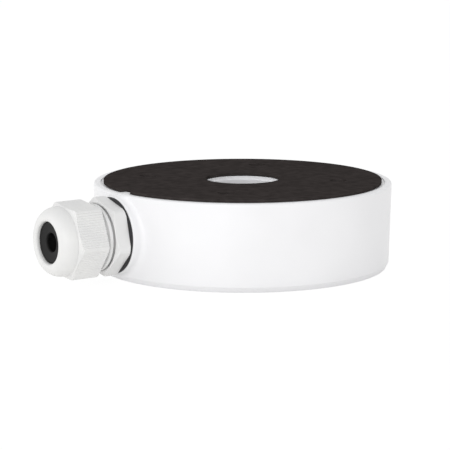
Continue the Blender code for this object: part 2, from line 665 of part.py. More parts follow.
def make_gland_body(surface):
    """Hexagon flange, entry thread, stop ring, nut thread and the ring of claws round the seal."""
    outline = hexagon(CORNER_RADIUS, FLANGE_TURN_DEG, HEX_CORNER_ROUNDING)
    made = prism("gland_body", outline, FLANGE_BACK, FLANGE_FRONT, gland_axis, parts)
    envelope = [(0.0, FLANGE_FRONT), (HALF_FLAT - FLANGE_CHAMFER_WIDTH, FLANGE_FRONT)]
    envelope += [(CORNER_RADIUS, FLANGE_FRONT - FLANGE_CHAMFER_HEIGHT)]
    envelope += [(CORNER_RADIUS, FLANGE_BACK + FLANGE_BACK_CHAMFER)]
    envelope += [(CORNER_RADIUS - FLANGE_BACK_CHAMFER, FLANGE_BACK), (0.0, FLANGE_BACK)]
    combine(made, [turned("flange_envelope", envelope, MEDIUM_STEPS, gland_axis)], "INTERSECT")
    inner_end = FLANGE_BACK - ENTRY_THREAD_LENGTH
    relief = NUT_THREAD_RADIUS - THREAD_RELIEF
    core = [(CLAW_INNER_RADIUS, CLAW_TIP), (CLAW_TIP_RADIUS, CLAW_TIP), (CLAW_ROOT_RADIUS, THREAD_TOP)]
    core += [(NUT_THREAD_RADIUS, THREAD_TOP - THREAD_RELIEF), (NUT_THREAD_RADIUS, NUT_BACK - THREAD_RELIEF)]
    core += [(relief, NUT_BACK - 2 * THREAD_RELIEF), (relief, STOP_RING_FRONT)]
    core += [(STOP_RING_RADIUS, STOP_RING_FRONT), (STOP_RING_RADIUS, STOP_RING_BACK)]
    core += [(NECK_RADIUS, STOP_RING_BACK), (NECK_RADIUS, FLANGE_BACK + FLANGE_THICKNESS / 2)]
    core += [(ENTRY_THREAD_RADIUS, FLANGE_BACK + FLANGE_THICKNESS / 2)]
    core += [(ENTRY_THREAD_RADIUS, inner_end + ENTRY_LEAD_CHAMFER)]
    core += [(ENTRY_THREAD_RADIUS - ENTRY_LEAD_CHAMFER, inner_end)]
    core += [(GLAND_BORE_RADIUS, inner_end), (GLAND_BORE_RADIUS, SEAL_SEAT), (CLAW_INNER_RADIUS, SEAL_SEAT)]
    opened = (GLAND_BORE_RADIUS + ENTRY_THREAD_RADIUS) / 2
    bore = rod("flange_opening", opened, inner_end - OVERCUT, CLAW_TIP, MEDIUM_STEPS, gland_axis)
    combine(made, [bore], "DIFFERENCE")
    combine(made, [turned("gland_core", core, MEDIUM_STEPS, gland_axis)], "UNION")
    slots = []
    for number, angle in enumerate(spread(CLAW_COUNT, 0.0), 1):
        low = (CLAW_INNER_RADIUS / 2, -CLAW_SLOT_WIDTH / 2, THREAD_TOP)
        high = (NUT_THREAD_RADIUS, CLAW_SLOT_WIDTH / 2, CLAW_TIP + OVERCUT)
        slots.append(block(f"claw_slot_{number}", low, high, angle, gland_axis))
    combine(made, slots, "DIFFERENCE")
    finish(made, surface)


def dome(steps):
    """Points (r, z) over the cap nut's dome, from its lip down to the valley at the hexagon."""
    points = []
    lip_radius = MOUTH_RADIUS + LIP_WIDTH
    power = 2.0 / DOME_ROUNDNESS
    for step in range(steps + 1):
        angle = math.pi / 2 * step / steps
        r = lip_radius + (DOME_BASE_RADIUS - lip_radius) * math.sin(angle) ** power
        z = NUT_VALLEY + (NUT_FRONT - NUT_VALLEY) * math.cos(angle) ** power
        points.append((r, z))
    return points


def make_cap_nut(surface):
    """Grooved hexagon with a coned shoulder, a dome over it, and a bore that closes to the mouth."""
    made = prism("gland_cap_nut", grooved_hexagon(NUT_TURN_DEG), NUT_BACK, NUT_VALLEY, gland_axis, parts)
    envelope = [(0.0, NUT_VALLEY), (NUT_VALLEY_RADIUS, NUT_VALLEY), (CORNER_RADIUS, NUT_SHOULDER)]
    envelope += [(CORNER_RADIUS, NUT_BACK), (0.0, NUT_BACK)]
    combine(made, [turned("nut_envelope", envelope, MEDIUM_STEPS, gland_axis)], "INTERSECT")
    cap = [(0.0, NUT_FRONT)] + dome(DOME_STEPS)
    cap += [(NUT_VALLEY_RADIUS, NUT_VALLEY - OVERCUT / 2), (0.0, NUT_VALLEY - OVERCUT / 2)]
    combine(made, [turned("nut_dome", cap, MEDIUM_STEPS, gland_axis)], "UNION")
    lip_radius = MOUTH_RADIUS + LIP_WIDTH
    bore = [(0.0, NUT_FRONT + OVERCUT), (lip_radius, NUT_FRONT + OVERCUT), (lip_radius, NUT_FRONT)]
    bore += [(MOUTH_RADIUS, NUT_FRONT - MOUTH_EDGE_DROP), (MOUTH_RADIUS, NUT_CONE_FRONT)]
    bore += [(NUT_BORE_RADIUS, NUT_CONE_BACK), (NUT_BORE_RADIUS, NUT_BACK - OVERCUT), (0.0, NUT_BACK - OVERCUT)]
    combine(made, [turned("nut_bore", bore, MEDIUM_STEPS, gland_axis)], "DIFFERENCE")
    finish(made, surface)


def make_gland_seal(surface):
    """Rubber sleeve with a coned nose that fills the cap nut's mouth and a small cable hole."""
    nose_radius = MOUTH_RADIUS - SEAT_GAP
    profile = [(SEAL_HOLE_RADIUS, SEAL_FACE - SEAL_DISH_DEPTH), (nose_radius, SEAL_FACE)]
    profile += [(nose_radius, SEAL_NOSE), (SEAL_RADIUS, SEAL_SHOULDER)]
    profile += [(SEAL_RADIUS, SEAL_BACK), (SEAL_FLARE_RADIUS, SEAL_BACK)]
    profile += [(SEAL_HOLE_RADIUS, SEAL_BACK + SEAL_FLARE_HEIGHT)]
    finish(turned("gland_seal", profile, MEDIUM_STEPS, gland_axis, parts), surface)


clear_scene()
parts = new_collection("camera_junction_box")
cutters = new_collection("cutters")
box_axis = empty("box_axis", (AXIS_X, 0.0, 0.0))
gland_axis = empty(
    "gland_axis", (-PAD_DISTANCE, 0.0, GLAND_HEIGHT), turn=(0.0, math.radians(-90.0), 0.0), parent=box_axis
)

powder_coat = material("white_powder_coat", (0.80, 0.80, 0.81), 0.42)
plate_coat = material("plate_powder_coat", (0.78, 0.78, 0.79), 0.45)
foam = material("black_foam_rubber", (0.032, 0.028, 0.026), 0.90)
nylon_body = material("light_grey_nylon", (0.66, 0.67, 0.64), 0.45)
nylon_nut = material("light_grey_nylon_nut", (0.68, 0.69, 0.66), 0.42)
gasket_rubber = material("gasket_rubber", (0.040, 0.040, 0.043), 0.62)
seal_rubber = material("seal_rubber", (0.036, 0.035, 0.035), 0.55)
ring_rubber = material("ring_rubber", (0.035, 0.035, 0.036), 0.60)
washer_rubber = material("washer_rubber", (0.050, 0.050, 0.050), 0.60)
steel = material("zinc_plated_steel", (0.60, 0.61, 0.63), 0.30, 1.0)
brass = material("brass", (0.78, 0.60, 0.28), 0.30, 1.0)

make_housing(powder_coat)
make_mat(foam)
make_camera_plate(plate_coat)
make_plate_seal(ring_rubber)
make_plate_screws(steel, washer_rubber)
make_earth_point(steel, brass)
make_gland_washer(gasket_rubber)
make_gland_body(nylon_body)
make_gland_seal(seal_rubber)
make_cap_nut(nylon_nut)
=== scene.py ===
"""Looks of the camera junction box: white die-cast housing, foam wall mat and light grey cable gland.

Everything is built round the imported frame, in metres, +Z up. The gland points along -X.
"""

import math

import bmesh
import bpy
from mathutils import Matrix, Vector


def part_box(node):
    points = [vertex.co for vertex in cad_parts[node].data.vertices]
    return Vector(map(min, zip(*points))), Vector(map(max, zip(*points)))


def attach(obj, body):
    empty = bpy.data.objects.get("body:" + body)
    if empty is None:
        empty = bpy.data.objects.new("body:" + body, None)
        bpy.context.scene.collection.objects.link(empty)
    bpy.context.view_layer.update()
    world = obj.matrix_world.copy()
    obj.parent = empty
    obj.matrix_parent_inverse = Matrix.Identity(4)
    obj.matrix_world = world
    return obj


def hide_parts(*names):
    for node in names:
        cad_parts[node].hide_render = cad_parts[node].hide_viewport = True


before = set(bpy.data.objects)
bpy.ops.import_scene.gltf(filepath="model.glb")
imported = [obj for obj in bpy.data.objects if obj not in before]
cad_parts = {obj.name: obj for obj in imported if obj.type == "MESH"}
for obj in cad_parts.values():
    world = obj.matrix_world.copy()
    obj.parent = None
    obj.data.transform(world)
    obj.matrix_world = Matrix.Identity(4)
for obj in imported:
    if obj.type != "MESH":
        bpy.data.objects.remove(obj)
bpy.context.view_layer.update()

# Places that the frame gives
housing_low, housing_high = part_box("housing")
mat_low, mat_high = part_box("wall_mat")
plate_low, plate_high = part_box("camera_plate")
ring_low, ring_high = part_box("plate_seal")
washer_low, washer_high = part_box("gland_washer")
body_low, body_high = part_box("gland_body")

RIM_RADIUS = housing_high.y
TOP = housing_high.z
AXIS_X = housing_high.x - RIM_RADIUS
PAD_X = housing_low.x
PAD_DISTANCE = AXIS_X - PAD_X
GLAND_Z = (washer_low.z + washer_high.z) / 2

# Housing: wall, rim, recess and the hollow under the wall plate
WALL_DRAFT_DEG = 1.35
RIM_FILLET = 0.0009
RIM_WIDTH = 0.0030
RIM_INNER_FILLET = 0.0003
RECESS_DEPTH = 0.0005
BASE_CHAMFER = 0.0020
BASE_CHAMFER_DEG = 20.0
BASE_EDGE_FILLET = 0.0004
LIP_THICKNESS = 0.0027
LEDGE_HEIGHT = 0.0049
LEDGE_WIDTH = 0.0020
CAVITY_FILLET = 0.0020
PLATE_THICKNESS = 0.0030
BASE_RADIUS = RIM_RADIUS - TOP * math.tan(math.radians(WALL_DRAFT_DEG))
OPENING_RADIUS = BASE_RADIUS - LIP_THICKNESS
CAVITY_RADIUS = OPENING_RADIUS - LEDGE_WIDTH
RECESS_RADIUS = RIM_RADIUS - RIM_WIDTH
RECESS_FLOOR = TOP - RECESS_DEPTH
CEILING = RECESS_FLOOR - PLATE_THICKNESS

# Key of the recess, and the notch in the mat that fits it
KEY_LENGTH = 0.0035
KEY_WIDTH = 0.0056
KEY_DROP = 0.0001
KEY_ROUNDING = 0.0003
NOTCH_CLEARANCE = 0.0006
NOTCH_CORNER_RADIUS = 0.0008
FOAM_EDGE_ROUNDING = 0.00015

# Holes through the wall plate and the mat
CABLE_HOLE_RADIUS = 0.0158
COLLAR_BORE_RADIUS = 0.0151
COLLAR_RADIUS = 0.0186
COLLAR_HEIGHT = 0.0040
WALL_SCREW_CIRCLE = 0.0410
WALL_SCREW_HOLE_RADIUS = 0.0026
MAT_SCREW_HOLE_RADIUS = 0.00375
SCREW_ANGLES_DEG = (45.0, 135.0, 225.0, 315.0)

# Bosses, pads and ribs in the hollow
PLATE_SCREW_CIRCLE = 0.0520
SCREW_BOSS_RADIUS = 0.0045
SCREW_PAD_RADIUS = 0.0055
SCREW_PAD_HEIGHT = 0.0015
WEB_HALF_WIDTH = 0.00315
RIB_ANGLES_DEG = (0.0, 90.0, 270.0)
RIB_THICKNESS = 0.0020
RIB_HEIGHT = 0.0030
RIB_ROUNDING = 0.0003
EARTH_CIRCLE = 0.0340
EARTH_ANGLE_DEG = 67.5
EARTH_BOSS_RADIUS = 0.0042
EARTH_BOSS_HEIGHT = 0.0060

# Side boss for the gland
BOSS_RADIUS = 0.0162
BOSS_FACE = 0.0005
BOSS_EDGE_FILLET = 0.0006
BOSS_FOOT_FILLET = 0.0018
BOSS_BURIED = 0.0012
BOSS_BORE_RADIUS = 0.0128
THREADED_BOSS_RADIUS = 0.0140
THREADED_BOSS_START = 0.0030
THREADED_BOSS_DEPTH = 0.0097

# Washer: how much of its thickness each of its rounded edges takes
WASHER_EDGE_SHARE = 0.35

# Gland body: heights along the gland's axis, from the solid boss's face outwards
ACROSS_FLATS = 0.0290
CORNER_RADIUS = 0.0164
CORNER_BLEND = 0.0003
THREAD_PITCH = 0.0015
THREAD_DEPTH = 0.0008
THREAD_STEEPNESS = 1.25
POINTS_A_TURN = 8
ENTRY_THREAD_RADIUS = 0.0125
ENTRY_CHAMFER = 0.0008
ENTRY_END_RADIUS = 0.0115
ENTRY_UNDERCUT_DEPTH = 0.0008
ENTRY_UNDERCUT_WIDTH = 0.0002
FLANGE_BACK = 0.0016
FLANGE_FRONT = 0.0078
FLANGE_TURN_DEG = 14.6
FLANGE_SEAT_RADIUS = 0.0135
FLANGE_FRONT_CHAMFER_RADIUS = 0.0142
FLANGE_BACK_CHAMFER_RADIUS = 0.0158
FLANGE_CHAMFER_SLOPE = 2.2
FLANGE_BLEND = 0.0003
FLANGE_DISH = 0.0024
FLANGE_DISH_RADIUS = 0.0141
NECK_RADIUS = 0.0118
RING_BACK = 0.0086
RING_FRONT = 0.0100
RING_RADIUS = 0.0138
RING_EDGE = 0.0002
RELIEF_RADIUS = 0.0121
RELIEF_END = 0.0109
NUT_THREAD_RADIUS = 0.0129
NUT_THREAD_BACK = 0.0112
NUT_THREAD_FRONT = 0.0202
CLAW_ROOT = 0.0206
CLAW_TIP = 0.0246
CLAW_TIP_CHAMFER = 0.0003
CLAW_ROOT_RADIUS = 0.0120
CLAW_TIP_RADIUS = 0.0117
CLAW_COUNT = 10
CLAW_SLOT = 0.0011
BORE_RADIUS = 0.0090
SEAL_SEAT = 0.0182
SEAL_POCKET_RADIUS = 0.0109

# Cap nut: hexagon, hollow shoulder, shallow neck and dome, as measured off the photograph
NUT_BACK = 0.0119
NUT_TURN_DEG = 23.3
NUT_OUTSIDE = 0.0166
NUT_BACK_CHAMFER_RADIUS = 0.0160
NUT_BACK_CHAMFER_SLOPE = 2.0
NUT_BACK_BLEND = 0.0002
NUT_BORE_CHAMFER = 0.0003
SHOULDER = 0.0239
SHOULDER_FALL = 0.0005
SHOULDER_EDGE = 0.0005
NECK_OF_DOME_RADIUS = 0.0139
DOME_BACK = 0.0258
DOME_BACK_RADIUS = 0.0143
DOME_UNDERCUT = 600.0
DOME_FRONT = 0.0318
LIP_RADIUS = 0.0098
DOME_POWER = 2.0
DOME_BLEND = 0.0003
MOUTH_RADIUS = 0.0086
NUT_CONE_FRONT = 0.0300
NUT_CONE_BACK = 0.0256
NUT_BORE_RADIUS = 0.0132
GRIP_COUNT = 16
GRIP_DEPTH = 0.00028
GRIP_EDGE = 0.0010
GRIP_START = 0.0244
GRIP_FADE = 0.0003

# Seal
SEAL_BACK = 0.0200
SEAL_SHOULDER = 0.0273
SEAL_NOSE = 0.0297
SEAL_FACE = 0.0301
SEAL_RADIUS = 0.0106
SEAL_NOSE_RADIUS = 0.00835
SEAL_HOLE_RADIUS = 0.00395
SEAL_DISH = 0.0005
SEAL_LIP = 0.0010
SEAL_RELIEF_RADIUS = 0.0062
SEAL_FLARE_RADIUS = 0.0070
SEAL_FLARE = 0.0035
SEAL_EDGE = 0.0003
SEAL_RIM_WIDTH = 0.0008
SEAL_RIM_DROP = 0.0002

# Camera plate: heights from the ground plane
PLATE_HOLE_RADIUS = 0.0160
PLATE_COLLAR_RADIUS = 0.0180
PLATE_OUTER = 0.0006
PLATE_INNER = 0.0031
PLATE_FACE = 0.00059
POCKET_RADIUS = 0.0043
POCKET_WALL = 0.0010
POCKET_TOP = 0.0046
POCKET_FLOOR = 0.0030
CAMERA_HOLE_RADIUS = 0.0017
CAMERA_HOLE_CHAMFER = 0.0002
CAMERA_BOSS_RADIUS = 0.0038
CAMERA_BOSS_TOP = 0.0061
PLATE_COLLAR_TOP = 0.0056
CAMERA_HOLE_PLACES = ((0.0300, 150.0), (0.0300, 270.0), (0.0300, 30.0),
                      (0.0400, 210.0), (0.0400, 330.0), (0.0400, 90.0))

# Pan head screws, and the rings of rubber and brass
SCREW_RADIUS = 0.0020
SCREW_CLEARANCE = 0.0003
SCREW_POINT_SHARE = 0.6
SCREW_POINT_LENGTH = 0.0006
SCREW_HEAD_EDGE = 0.0001
SCREW_HEAD_RADIUS = 0.0035
SCREW_HEAD_HEIGHT = 0.0016
SCREW_THREAD_PITCH = 0.0007
SCREW_THREAD_DEPTH = 0.00025
SCREW_POINTS_A_TURN = 5
CROSS_HALF_LENGTH = 0.0019
CROSS_HALF_WIDTH = 0.00045
CROSS_DEPTH = 0.0009
CROSS_NARROWING = 0.25
CROSS_RIM_RADIUS = 0.0020
CROSS_RIM_STEP = 0.0001
PLATE_SEAL_WIDTH = 0.0020
FLAT_RING_EDGE_SHARE = 0.25

# Camera: how it stood towards the box in the photograph
PHOTO_SIZE = 450
FOCAL_PIXELS = 2000.0
SENSOR_WIDTH = 36.0
PHOTO_DISTANCE = 0.86104
PHOTO_TILT_DEG = 9.88
PHOTO_TURN_DEG = 35.27
BOX_AXIS_PIXEL = (242.45, 263.62)

# Light table: its dimmer ring, outwards from the box and under it, its gap under the box, and how much of it
# throws light back
TABLE_DIP_WIDTH = 0.015
TABLE_DIP_INSIDE = 0.005
TABLE_GAP = 0.00005
TABLE_BOUNCE_SHARE = 0.5

# Surface patterns: how far across their lumps, pores and marks are
COAT_CLOUD_SIZE = 0.030
COAT_SHEEN_SIZE = 0.006
ORANGE_PEEL_SIZE = 0.0011
FOAM_MOTTLE_SIZE = 0.0035
FOAM_PORE_SIZE = 0.0007
FOAM_GRAIN_SIZE = 0.0009
NYLON_CLOUD_SIZE = 0.008
NYLON_GRAIN_SIZE = 0.0004
RUBBER_BLOOM_SIZE = 0.0030
RUBBER_GRAIN_SIZE = 0.0003
METAL_CLOUD_SIZE = 0.0020
METAL_MARK_SIZE = 0.0002

# Share of a noise's range that colours and finishes are spread over
NOISE_LOW = 0.30
NOISE_HIGH = 0.70

# How finely round shapes are divided, and the smallest lengths
WALL_STEPS = 288
BOSS_STEPS = 192
HOLE_STEPS = 128
NUT_STEPS = 768
BODY_STEPS = 360
SEAL_STEPS = 144
SCREW_STEPS = 144
CLAW_STEPS = 8
SMALL_STEPS = 48
ARC_STEPS = 5
SMOOTH_ANGLE_DEG = 35.0
SHARP_ANGLE_DEG = 57.3
OVERLAP = 0.0004
NEAR = 0.0001
HAIR = 0.00001
SAME_PLACE = 0.000001
ROUNDING_STEPS = 3
FINE_ROUNDING_STEPS = 4
FILLET_STEPS = 8
DISH_STEPS = 4

# Rows of points up the sides of the gland's hexagons: from, to, and how far apart
FLANGE_ROWS = (
    (FLANGE_BACK + HAIR, FLANGE_BACK + 0.0010, 0.00015),
    (FLANGE_BACK + 0.0014, FLANGE_FRONT - 0.0018, 0.0010),
    (FLANGE_FRONT - 0.0014, FLANGE_FRONT - HAIR, 0.00010),
)
NUT_ROWS = (
    (NUT_BACK + HAIR, NUT_BACK + 0.0004, 0.00010),
    (NUT_BACK + 0.0010, SHOULDER - 0.0006, 0.0012),
    (SHOULDER - 0.0004, DOME_BACK + 0.0002, 0.00010),
    (DOME_BACK + 0.0005, DOME_FRONT - 0.0021, 0.0003),
    (DOME_FRONT - 0.0019, DOME_FRONT - 0.0003, 0.00015),
    (DOME_FRONT - 0.00022, DOME_FRONT - HAIR, 0.00006),
)

BOX = Matrix.Translation((AXIS_X, 0.0, 0.0))
GLAND = Matrix.Translation((PAD_X, 0.0, GLAND_Z)) @ Matrix.Rotation(math.radians(-90.0), 4, "Y")


def arc(center, radius, start_deg, end_deg, steps=ARC_STEPS):
    """Points (r, z) on an arc; angles run from +r towards +z."""
    points = []
    for step in range(steps + 1):
        angle = math.radians(start_deg + (end_deg - start_deg) * step / steps)
        points.append((center[0] + radius * math.cos(angle), center[1] + radius * math.sin(angle)))
    return points


def stretch(start, end, spacing):
    """Points (r, z) from start to end, no further apart than spacing."""
    length = math.dist(start, end)
    count = max(1, math.ceil(length / spacing))
    points = []
    for step in range(count + 1):
        share = step / count
        points.append((start[0] + (end[0] - start[0]) * share, start[1] + (end[1] - start[1]) * share))
    return points


def side(radius, rows):
    """Points (r, z) straight up at a radius, in rows from one height to another at their own spacing."""
    points = []
    for low, high, spacing in rows:
        points += stretch((radius, low), (radius, high), spacing)
    return points


def on_circle(radius, angle_deg):
    angle = math.radians(angle_deg)
    return Vector((radius * math.cos(angle), radius * math.sin(angle), 0.0))


def spun(shape, profile, steps, angle_deg=360.0):
    """Spin a profile (r, z) about Z into the shape; one that doesn't reach the axis is closed into a ring."""
    verts = [shape.verts.new((r, 0.0, z)) for r, z in profile]
    on_axis = profile[0][0] == 0.0 and profile[-1][0] == 0.0
    edges = [shape.edges.new(pair) for pair in zip(verts, verts[1:])]
    if not on_axis:
        edges.append(shape.edges.new((verts[-1], verts[0])))
    whole = angle_deg == 360.0
    before = set(shape.verts) - set(verts)
    geometry = verts + edges
    if not whole:
        geometry.append(shape.faces.new(verts))
    bmesh.ops.spin(
        shape, geom=geometry, cent=(0.0, 0.0, 0.0), axis=(0.0, 0.0, 1.0), dvec=(0.0, 0.0, 0.0),
        angle=math.radians(angle_deg), steps=steps, use_merge=whole,
    )
    made = [vert for vert in shape.verts if vert not in before]
    bmesh.ops.remove_doubles(shape, verts=made, dist=SAME_PLACE)
    made = [vert for vert in shape.verts if vert not in before]
    return made


def put(shape, verts, place):
    bmesh.ops.transform(shape, matrix=place, verts=verts)


def reshape(verts, radius_at):
    """Move each vertex in or out to radius_at(radius, angle, height)."""
    for vert in verts:
        radius = math.hypot(vert.co.x, vert.co.y)
        if radius > 0.0:
            share = radius_at(radius, math.atan2(vert.co.y, vert.co.x), vert.co.z) / radius
            vert.co.x *= share
            vert.co.y *= share


def sheet_with_holes(shape, outline, holes, low, high):
    """Flat plate from an outline of points and round holes (x, y, radius, steps)."""
    edges = []
    ring = [shape.verts.new((x, y, high)) for x, y in outline]
    edges += [shape.edges.new(pair) for pair in zip(ring, ring[1:] + ring[:1])]
    for x, y, radius, steps in holes:
        middle = Matrix.Translation((x, y, high))
        circle = bmesh.ops.create_circle(shape, segments=steps, radius=radius, matrix=middle)
        edges += list({edge for vert in circle["verts"] for edge in vert.link_edges})
    filled = bmesh.ops.triangle_fill(shape, use_beauty=True, use_dissolve=False, edges=edges)
    faces = [item for item in filled["geom"] if isinstance(item, bmesh.types.BMFace)]
    grown = bmesh.ops.extrude_face_region(shape, geom=faces, use_keep_orig=True)
    lowered = [item for item in grown["geom"] if isinstance(item, bmesh.types.BMVert)]
    bmesh.ops.translate(shape, vec=(0.0, 0.0, low - high), verts=lowered)


def bar(shape, radius, low, high, at, steps=SMALL_STEPS):
    middle = Matrix.Translation((at[0], at[1], (low + high) / 2))
    bmesh.ops.create_cone(
        shape, cap_ends=True, segments=steps, radius1=radius, radius2=radius, depth=high - low, matrix=middle
    )


def block(shape, low, high, turn_deg, rounding=0.0):
    """Box between two corners, turned about Z, with its edges rounded."""
    size = Vector(high) - Vector(low)
    middle = (Vector(high) + Vector(low)) / 2
    turn = Matrix.Rotation(math.radians(turn_deg), 4, "Z")
    place = turn @ Matrix.Translation(middle) @ Matrix.Diagonal((*size, 1.0))
    made = bmesh.ops.create_cube(shape, size=1.0, matrix=place)
    if rounding:
        edges = list({edge for vert in made["verts"] for edge in vert.link_edges})
        bmesh.ops.bevel(
            shape, geom=edges, offset=rounding, segments=ROUNDING_STEPS, profile=0.5, affect="EDGES", material=-1
        )


def piece(name, shape, place, finish, body, nodes):
    """Make the finished object from a shape: in place, faces out, smooth, on its body and for its nodes."""
    bmesh.ops.transform(shape, matrix=place, verts=shape.verts)
    bmesh.ops.remove_doubles(shape, verts=shape.verts, dist=SAME_PLACE / 2)
    bmesh.ops.recalc_face_normals(shape, faces=shape.faces)
    mesh = bpy.data.meshes.new(name)
    shape.to_mesh(mesh)
    shape.free()
    mesh.shade_smooth()
    mesh.set_sharp_from_angle(angle=math.radians(SMOOTH_ANGLE_DEG))
    mesh.materials.append(finish)
    made = bpy.data.objects.new(name, mesh)
    bpy.context.scene.collection.objects.link(made)
    weighted = made.modifiers.new("weighted_normals", "WEIGHTED_NORMAL")
    weighted.keep_sharp = True
    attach(made, body)
    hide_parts(*nodes)


def linear(hex_color):
    """Linear RGBA of an sRGB hex colour."""
    channels = []
    for start in (1, 3, 5):
        value = int(hex_color[start:start + 2], 16) / 255.0
        channels.append(value / 12.92 if value <= 0.04045 else ((value + 0.055) / 1.055) ** 2.4)
    return (*channels, 1.0)


def add_node(tree, kind, inputs=None, **settings):
    """Add a node with its settings; an input is a value, or a socket to link."""
    made = tree.nodes.new(kind)
    for name, value in settings.items():
        setattr(made, name, value)
    for name, value in (inputs or {}).items():
        if isinstance(value, bpy.types.NodeSocket):
            tree.links.new(value, made.inputs[name])
        else:
            made.inputs[name].default_value = value
    return made


def new_material(name):
    made = bpy.data.materials.new(name)
    made.use_nodes = True
    return made, made.node_tree, made.node_tree.nodes["Principled BSDF"]


def noise(tree, place, size, detail=2.0):
    """Noise whose lumps are about size metres across."""
    return add_node(tree, "ShaderNodeTexNoise", {"Vector": place, "Scale": 1.0 / size, "Detail": detail})


def between(tree, factor, dark, light):
    """Colour between two hex colours."""
    ramp = add_node(tree, "ShaderNodeValToRGB", {"Fac": factor})
    ramp.color_ramp.elements[0].position = NOISE_LOW
    ramp.color_ramp.elements[0].color = linear(dark)
    ramp.color_ramp.elements[1].position = NOISE_HIGH
    ramp.color_ramp.elements[1].color = linear(light)
    return ramp.outputs["Color"]


def ranged(tree, factor, low, high):
    """Value between low and high."""
    spread = {"Value": factor, "From Min": NOISE_LOW, "From Max": NOISE_HIGH, "To Min": low, "To Max": high}
    return add_node(tree, "ShaderNodeMapRange", spread).outputs["Result"]


def dressed(tree, shader, color, roughness, height, depth, strength):
    """Link colour, roughness and a bump of that depth in metres to the shader."""
    bump = add_node(tree, "ShaderNodeBump", {"Height": height, "Distance": depth, "Strength": strength})
    tree.links.new(color, shader.inputs["Base Color"])
    tree.links.new(roughness, shader.inputs["Roughness"])
    tree.links.new(bump.outputs["Normal"], shader.inputs["Normal"])


def powder_coated_aluminium(name, dark, light):
    """Polyester powder coat on die-cast aluminium: satin, with a faint orange peel about 1 mm across."""
    made, tree, shader = new_material(name)
    place = add_node(tree, "ShaderNodeTexCoord").outputs["Object"]
    cloud = noise(tree, place, COAT_CLOUD_SIZE)
    peel = noise(tree, place, ORANGE_PEEL_SIZE, detail=3.0)
    sheen = noise(tree, place, COAT_SHEEN_SIZE)
    color = between(tree, cloud.outputs["Fac"], dark, light)
    rough = ranged(tree, sheen.outputs["Fac"], low=0.33, high=0.40)
    dressed(tree, shader, color, rough, peel.outputs["Fac"], depth=0.00003, strength=0.5)
    shader.inputs["IOR"].default_value = 1.50
    return made


def foam_rubber(name, dark, light):
    """Closed-cell EPDM foam sheet, die cut: matt, with pores about 0.5 mm across and a faint mottle."""
    made, tree, shader = new_material(name)
    place = add_node(tree, "ShaderNodeTexCoord").outputs["Object"]
    mottle = noise(tree, place, FOAM_MOTTLE_SIZE, detail=4.0)
    cells = add_node(tree, "ShaderNodeTexVoronoi", {"Vector": place, "Scale": 1.0 / FOAM_PORE_SIZE})
    grain = noise(tree, place, FOAM_GRAIN_SIZE, detail=3.0)
    pores = add_node(
        tree, "ShaderNodeMath", {0: cells.outputs["Distance"], 1: grain.outputs["Fac"]}, operation="MULTIPLY"
    )
    color = between(tree, mottle.outputs["Fac"], dark, light)
    rough = ranged(tree, grain.outputs["Fac"], low=0.86, high=0.96)
    dressed(tree, shader, color, rough, pores.outputs["Value"], depth=0.00012, strength=0.6)
    shader.inputs["Specular IOR Level"].default_value = 0.0
    return made


def moulded_nylon(name, dark, light, roughness):
    """Injection-moulded polyamide 66: satin skin with a fine spark-eroded grain and a waxy sheen."""
    made, tree, shader = new_material(name)
    place = add_node(tree, "ShaderNodeTexCoord").outputs["Object"]
    cloud = noise(tree, place, NYLON_CLOUD_SIZE)
    grain = noise(tree, place, NYLON_GRAIN_SIZE, detail=3.0)
    color = between(tree, cloud.outputs["Fac"], dark, light)
    rough = ranged(tree, cloud.outputs["Fac"], low=roughness, high=roughness + 0.08)
    dressed(tree, shader, color, rough, grain.outputs["Fac"], depth=0.00001, strength=0.5)
    shader.inputs["IOR"].default_value = 1.53
    return made


def moulded_rubber(name, dark, light, roughness, specular):
    """Moulded black rubber: dull, with a powdery bloom and a fine grain."""
    made, tree, shader = new_material(name)
    place = add_node(tree, "ShaderNodeTexCoord").outputs["Object"]
    bloom = noise(tree, place, RUBBER_BLOOM_SIZE, detail=4.0)
    grain = noise(tree, place, RUBBER_GRAIN_SIZE)
    color = between(tree, bloom.outputs["Fac"], dark, light)
    rough = ranged(tree, bloom.outputs["Fac"], low=roughness, high=roughness + 0.12)
    dressed(tree, shader, color, rough, grain.outputs["Fac"], depth=0.00002, strength=0.6)
    shader.inputs["IOR"].default_value = 1.52
    shader.inputs["Specular IOR Level"].default_value = specular
    return made


def plated_metal(name, dark, light, roughness):
    """Plated or drawn small hardware: bright metal with fine drawing marks."""
    made, tree, shader = new_material(name)
    place = add_node(tree, "ShaderNodeTexCoord").outputs["Object"]
    cloud = noise(tree, place, METAL_CLOUD_SIZE, detail=3.0)
    marks = noise(tree, place, METAL_MARK_SIZE)
    color = between(tree, cloud.outputs["Fac"], dark, light)
    rough = ranged(tree, cloud.outputs["Fac"], low=roughness, high=roughness + 0.12)
    dressed(tree, shader, color, rough, marks.outputs["Fac"], depth=0.00001, strength=0.4)
    shader.inputs["Metallic"].default_value = 1.0
    return made


def wall_radius(height):
    """Radius of the housing's outside at a height, fillets included."""
    straight = BASE_RADIUS + height * math.tan(math.radians(WALL_DRAFT_DEG))
    above = height - (TOP - RIM_FILLET)
    if above > 0.0:
        return RIM_RADIUS - RIM_FILLET + math.sqrt(max(0.0, RIM_FILLET**2 - above**2))
    return straight


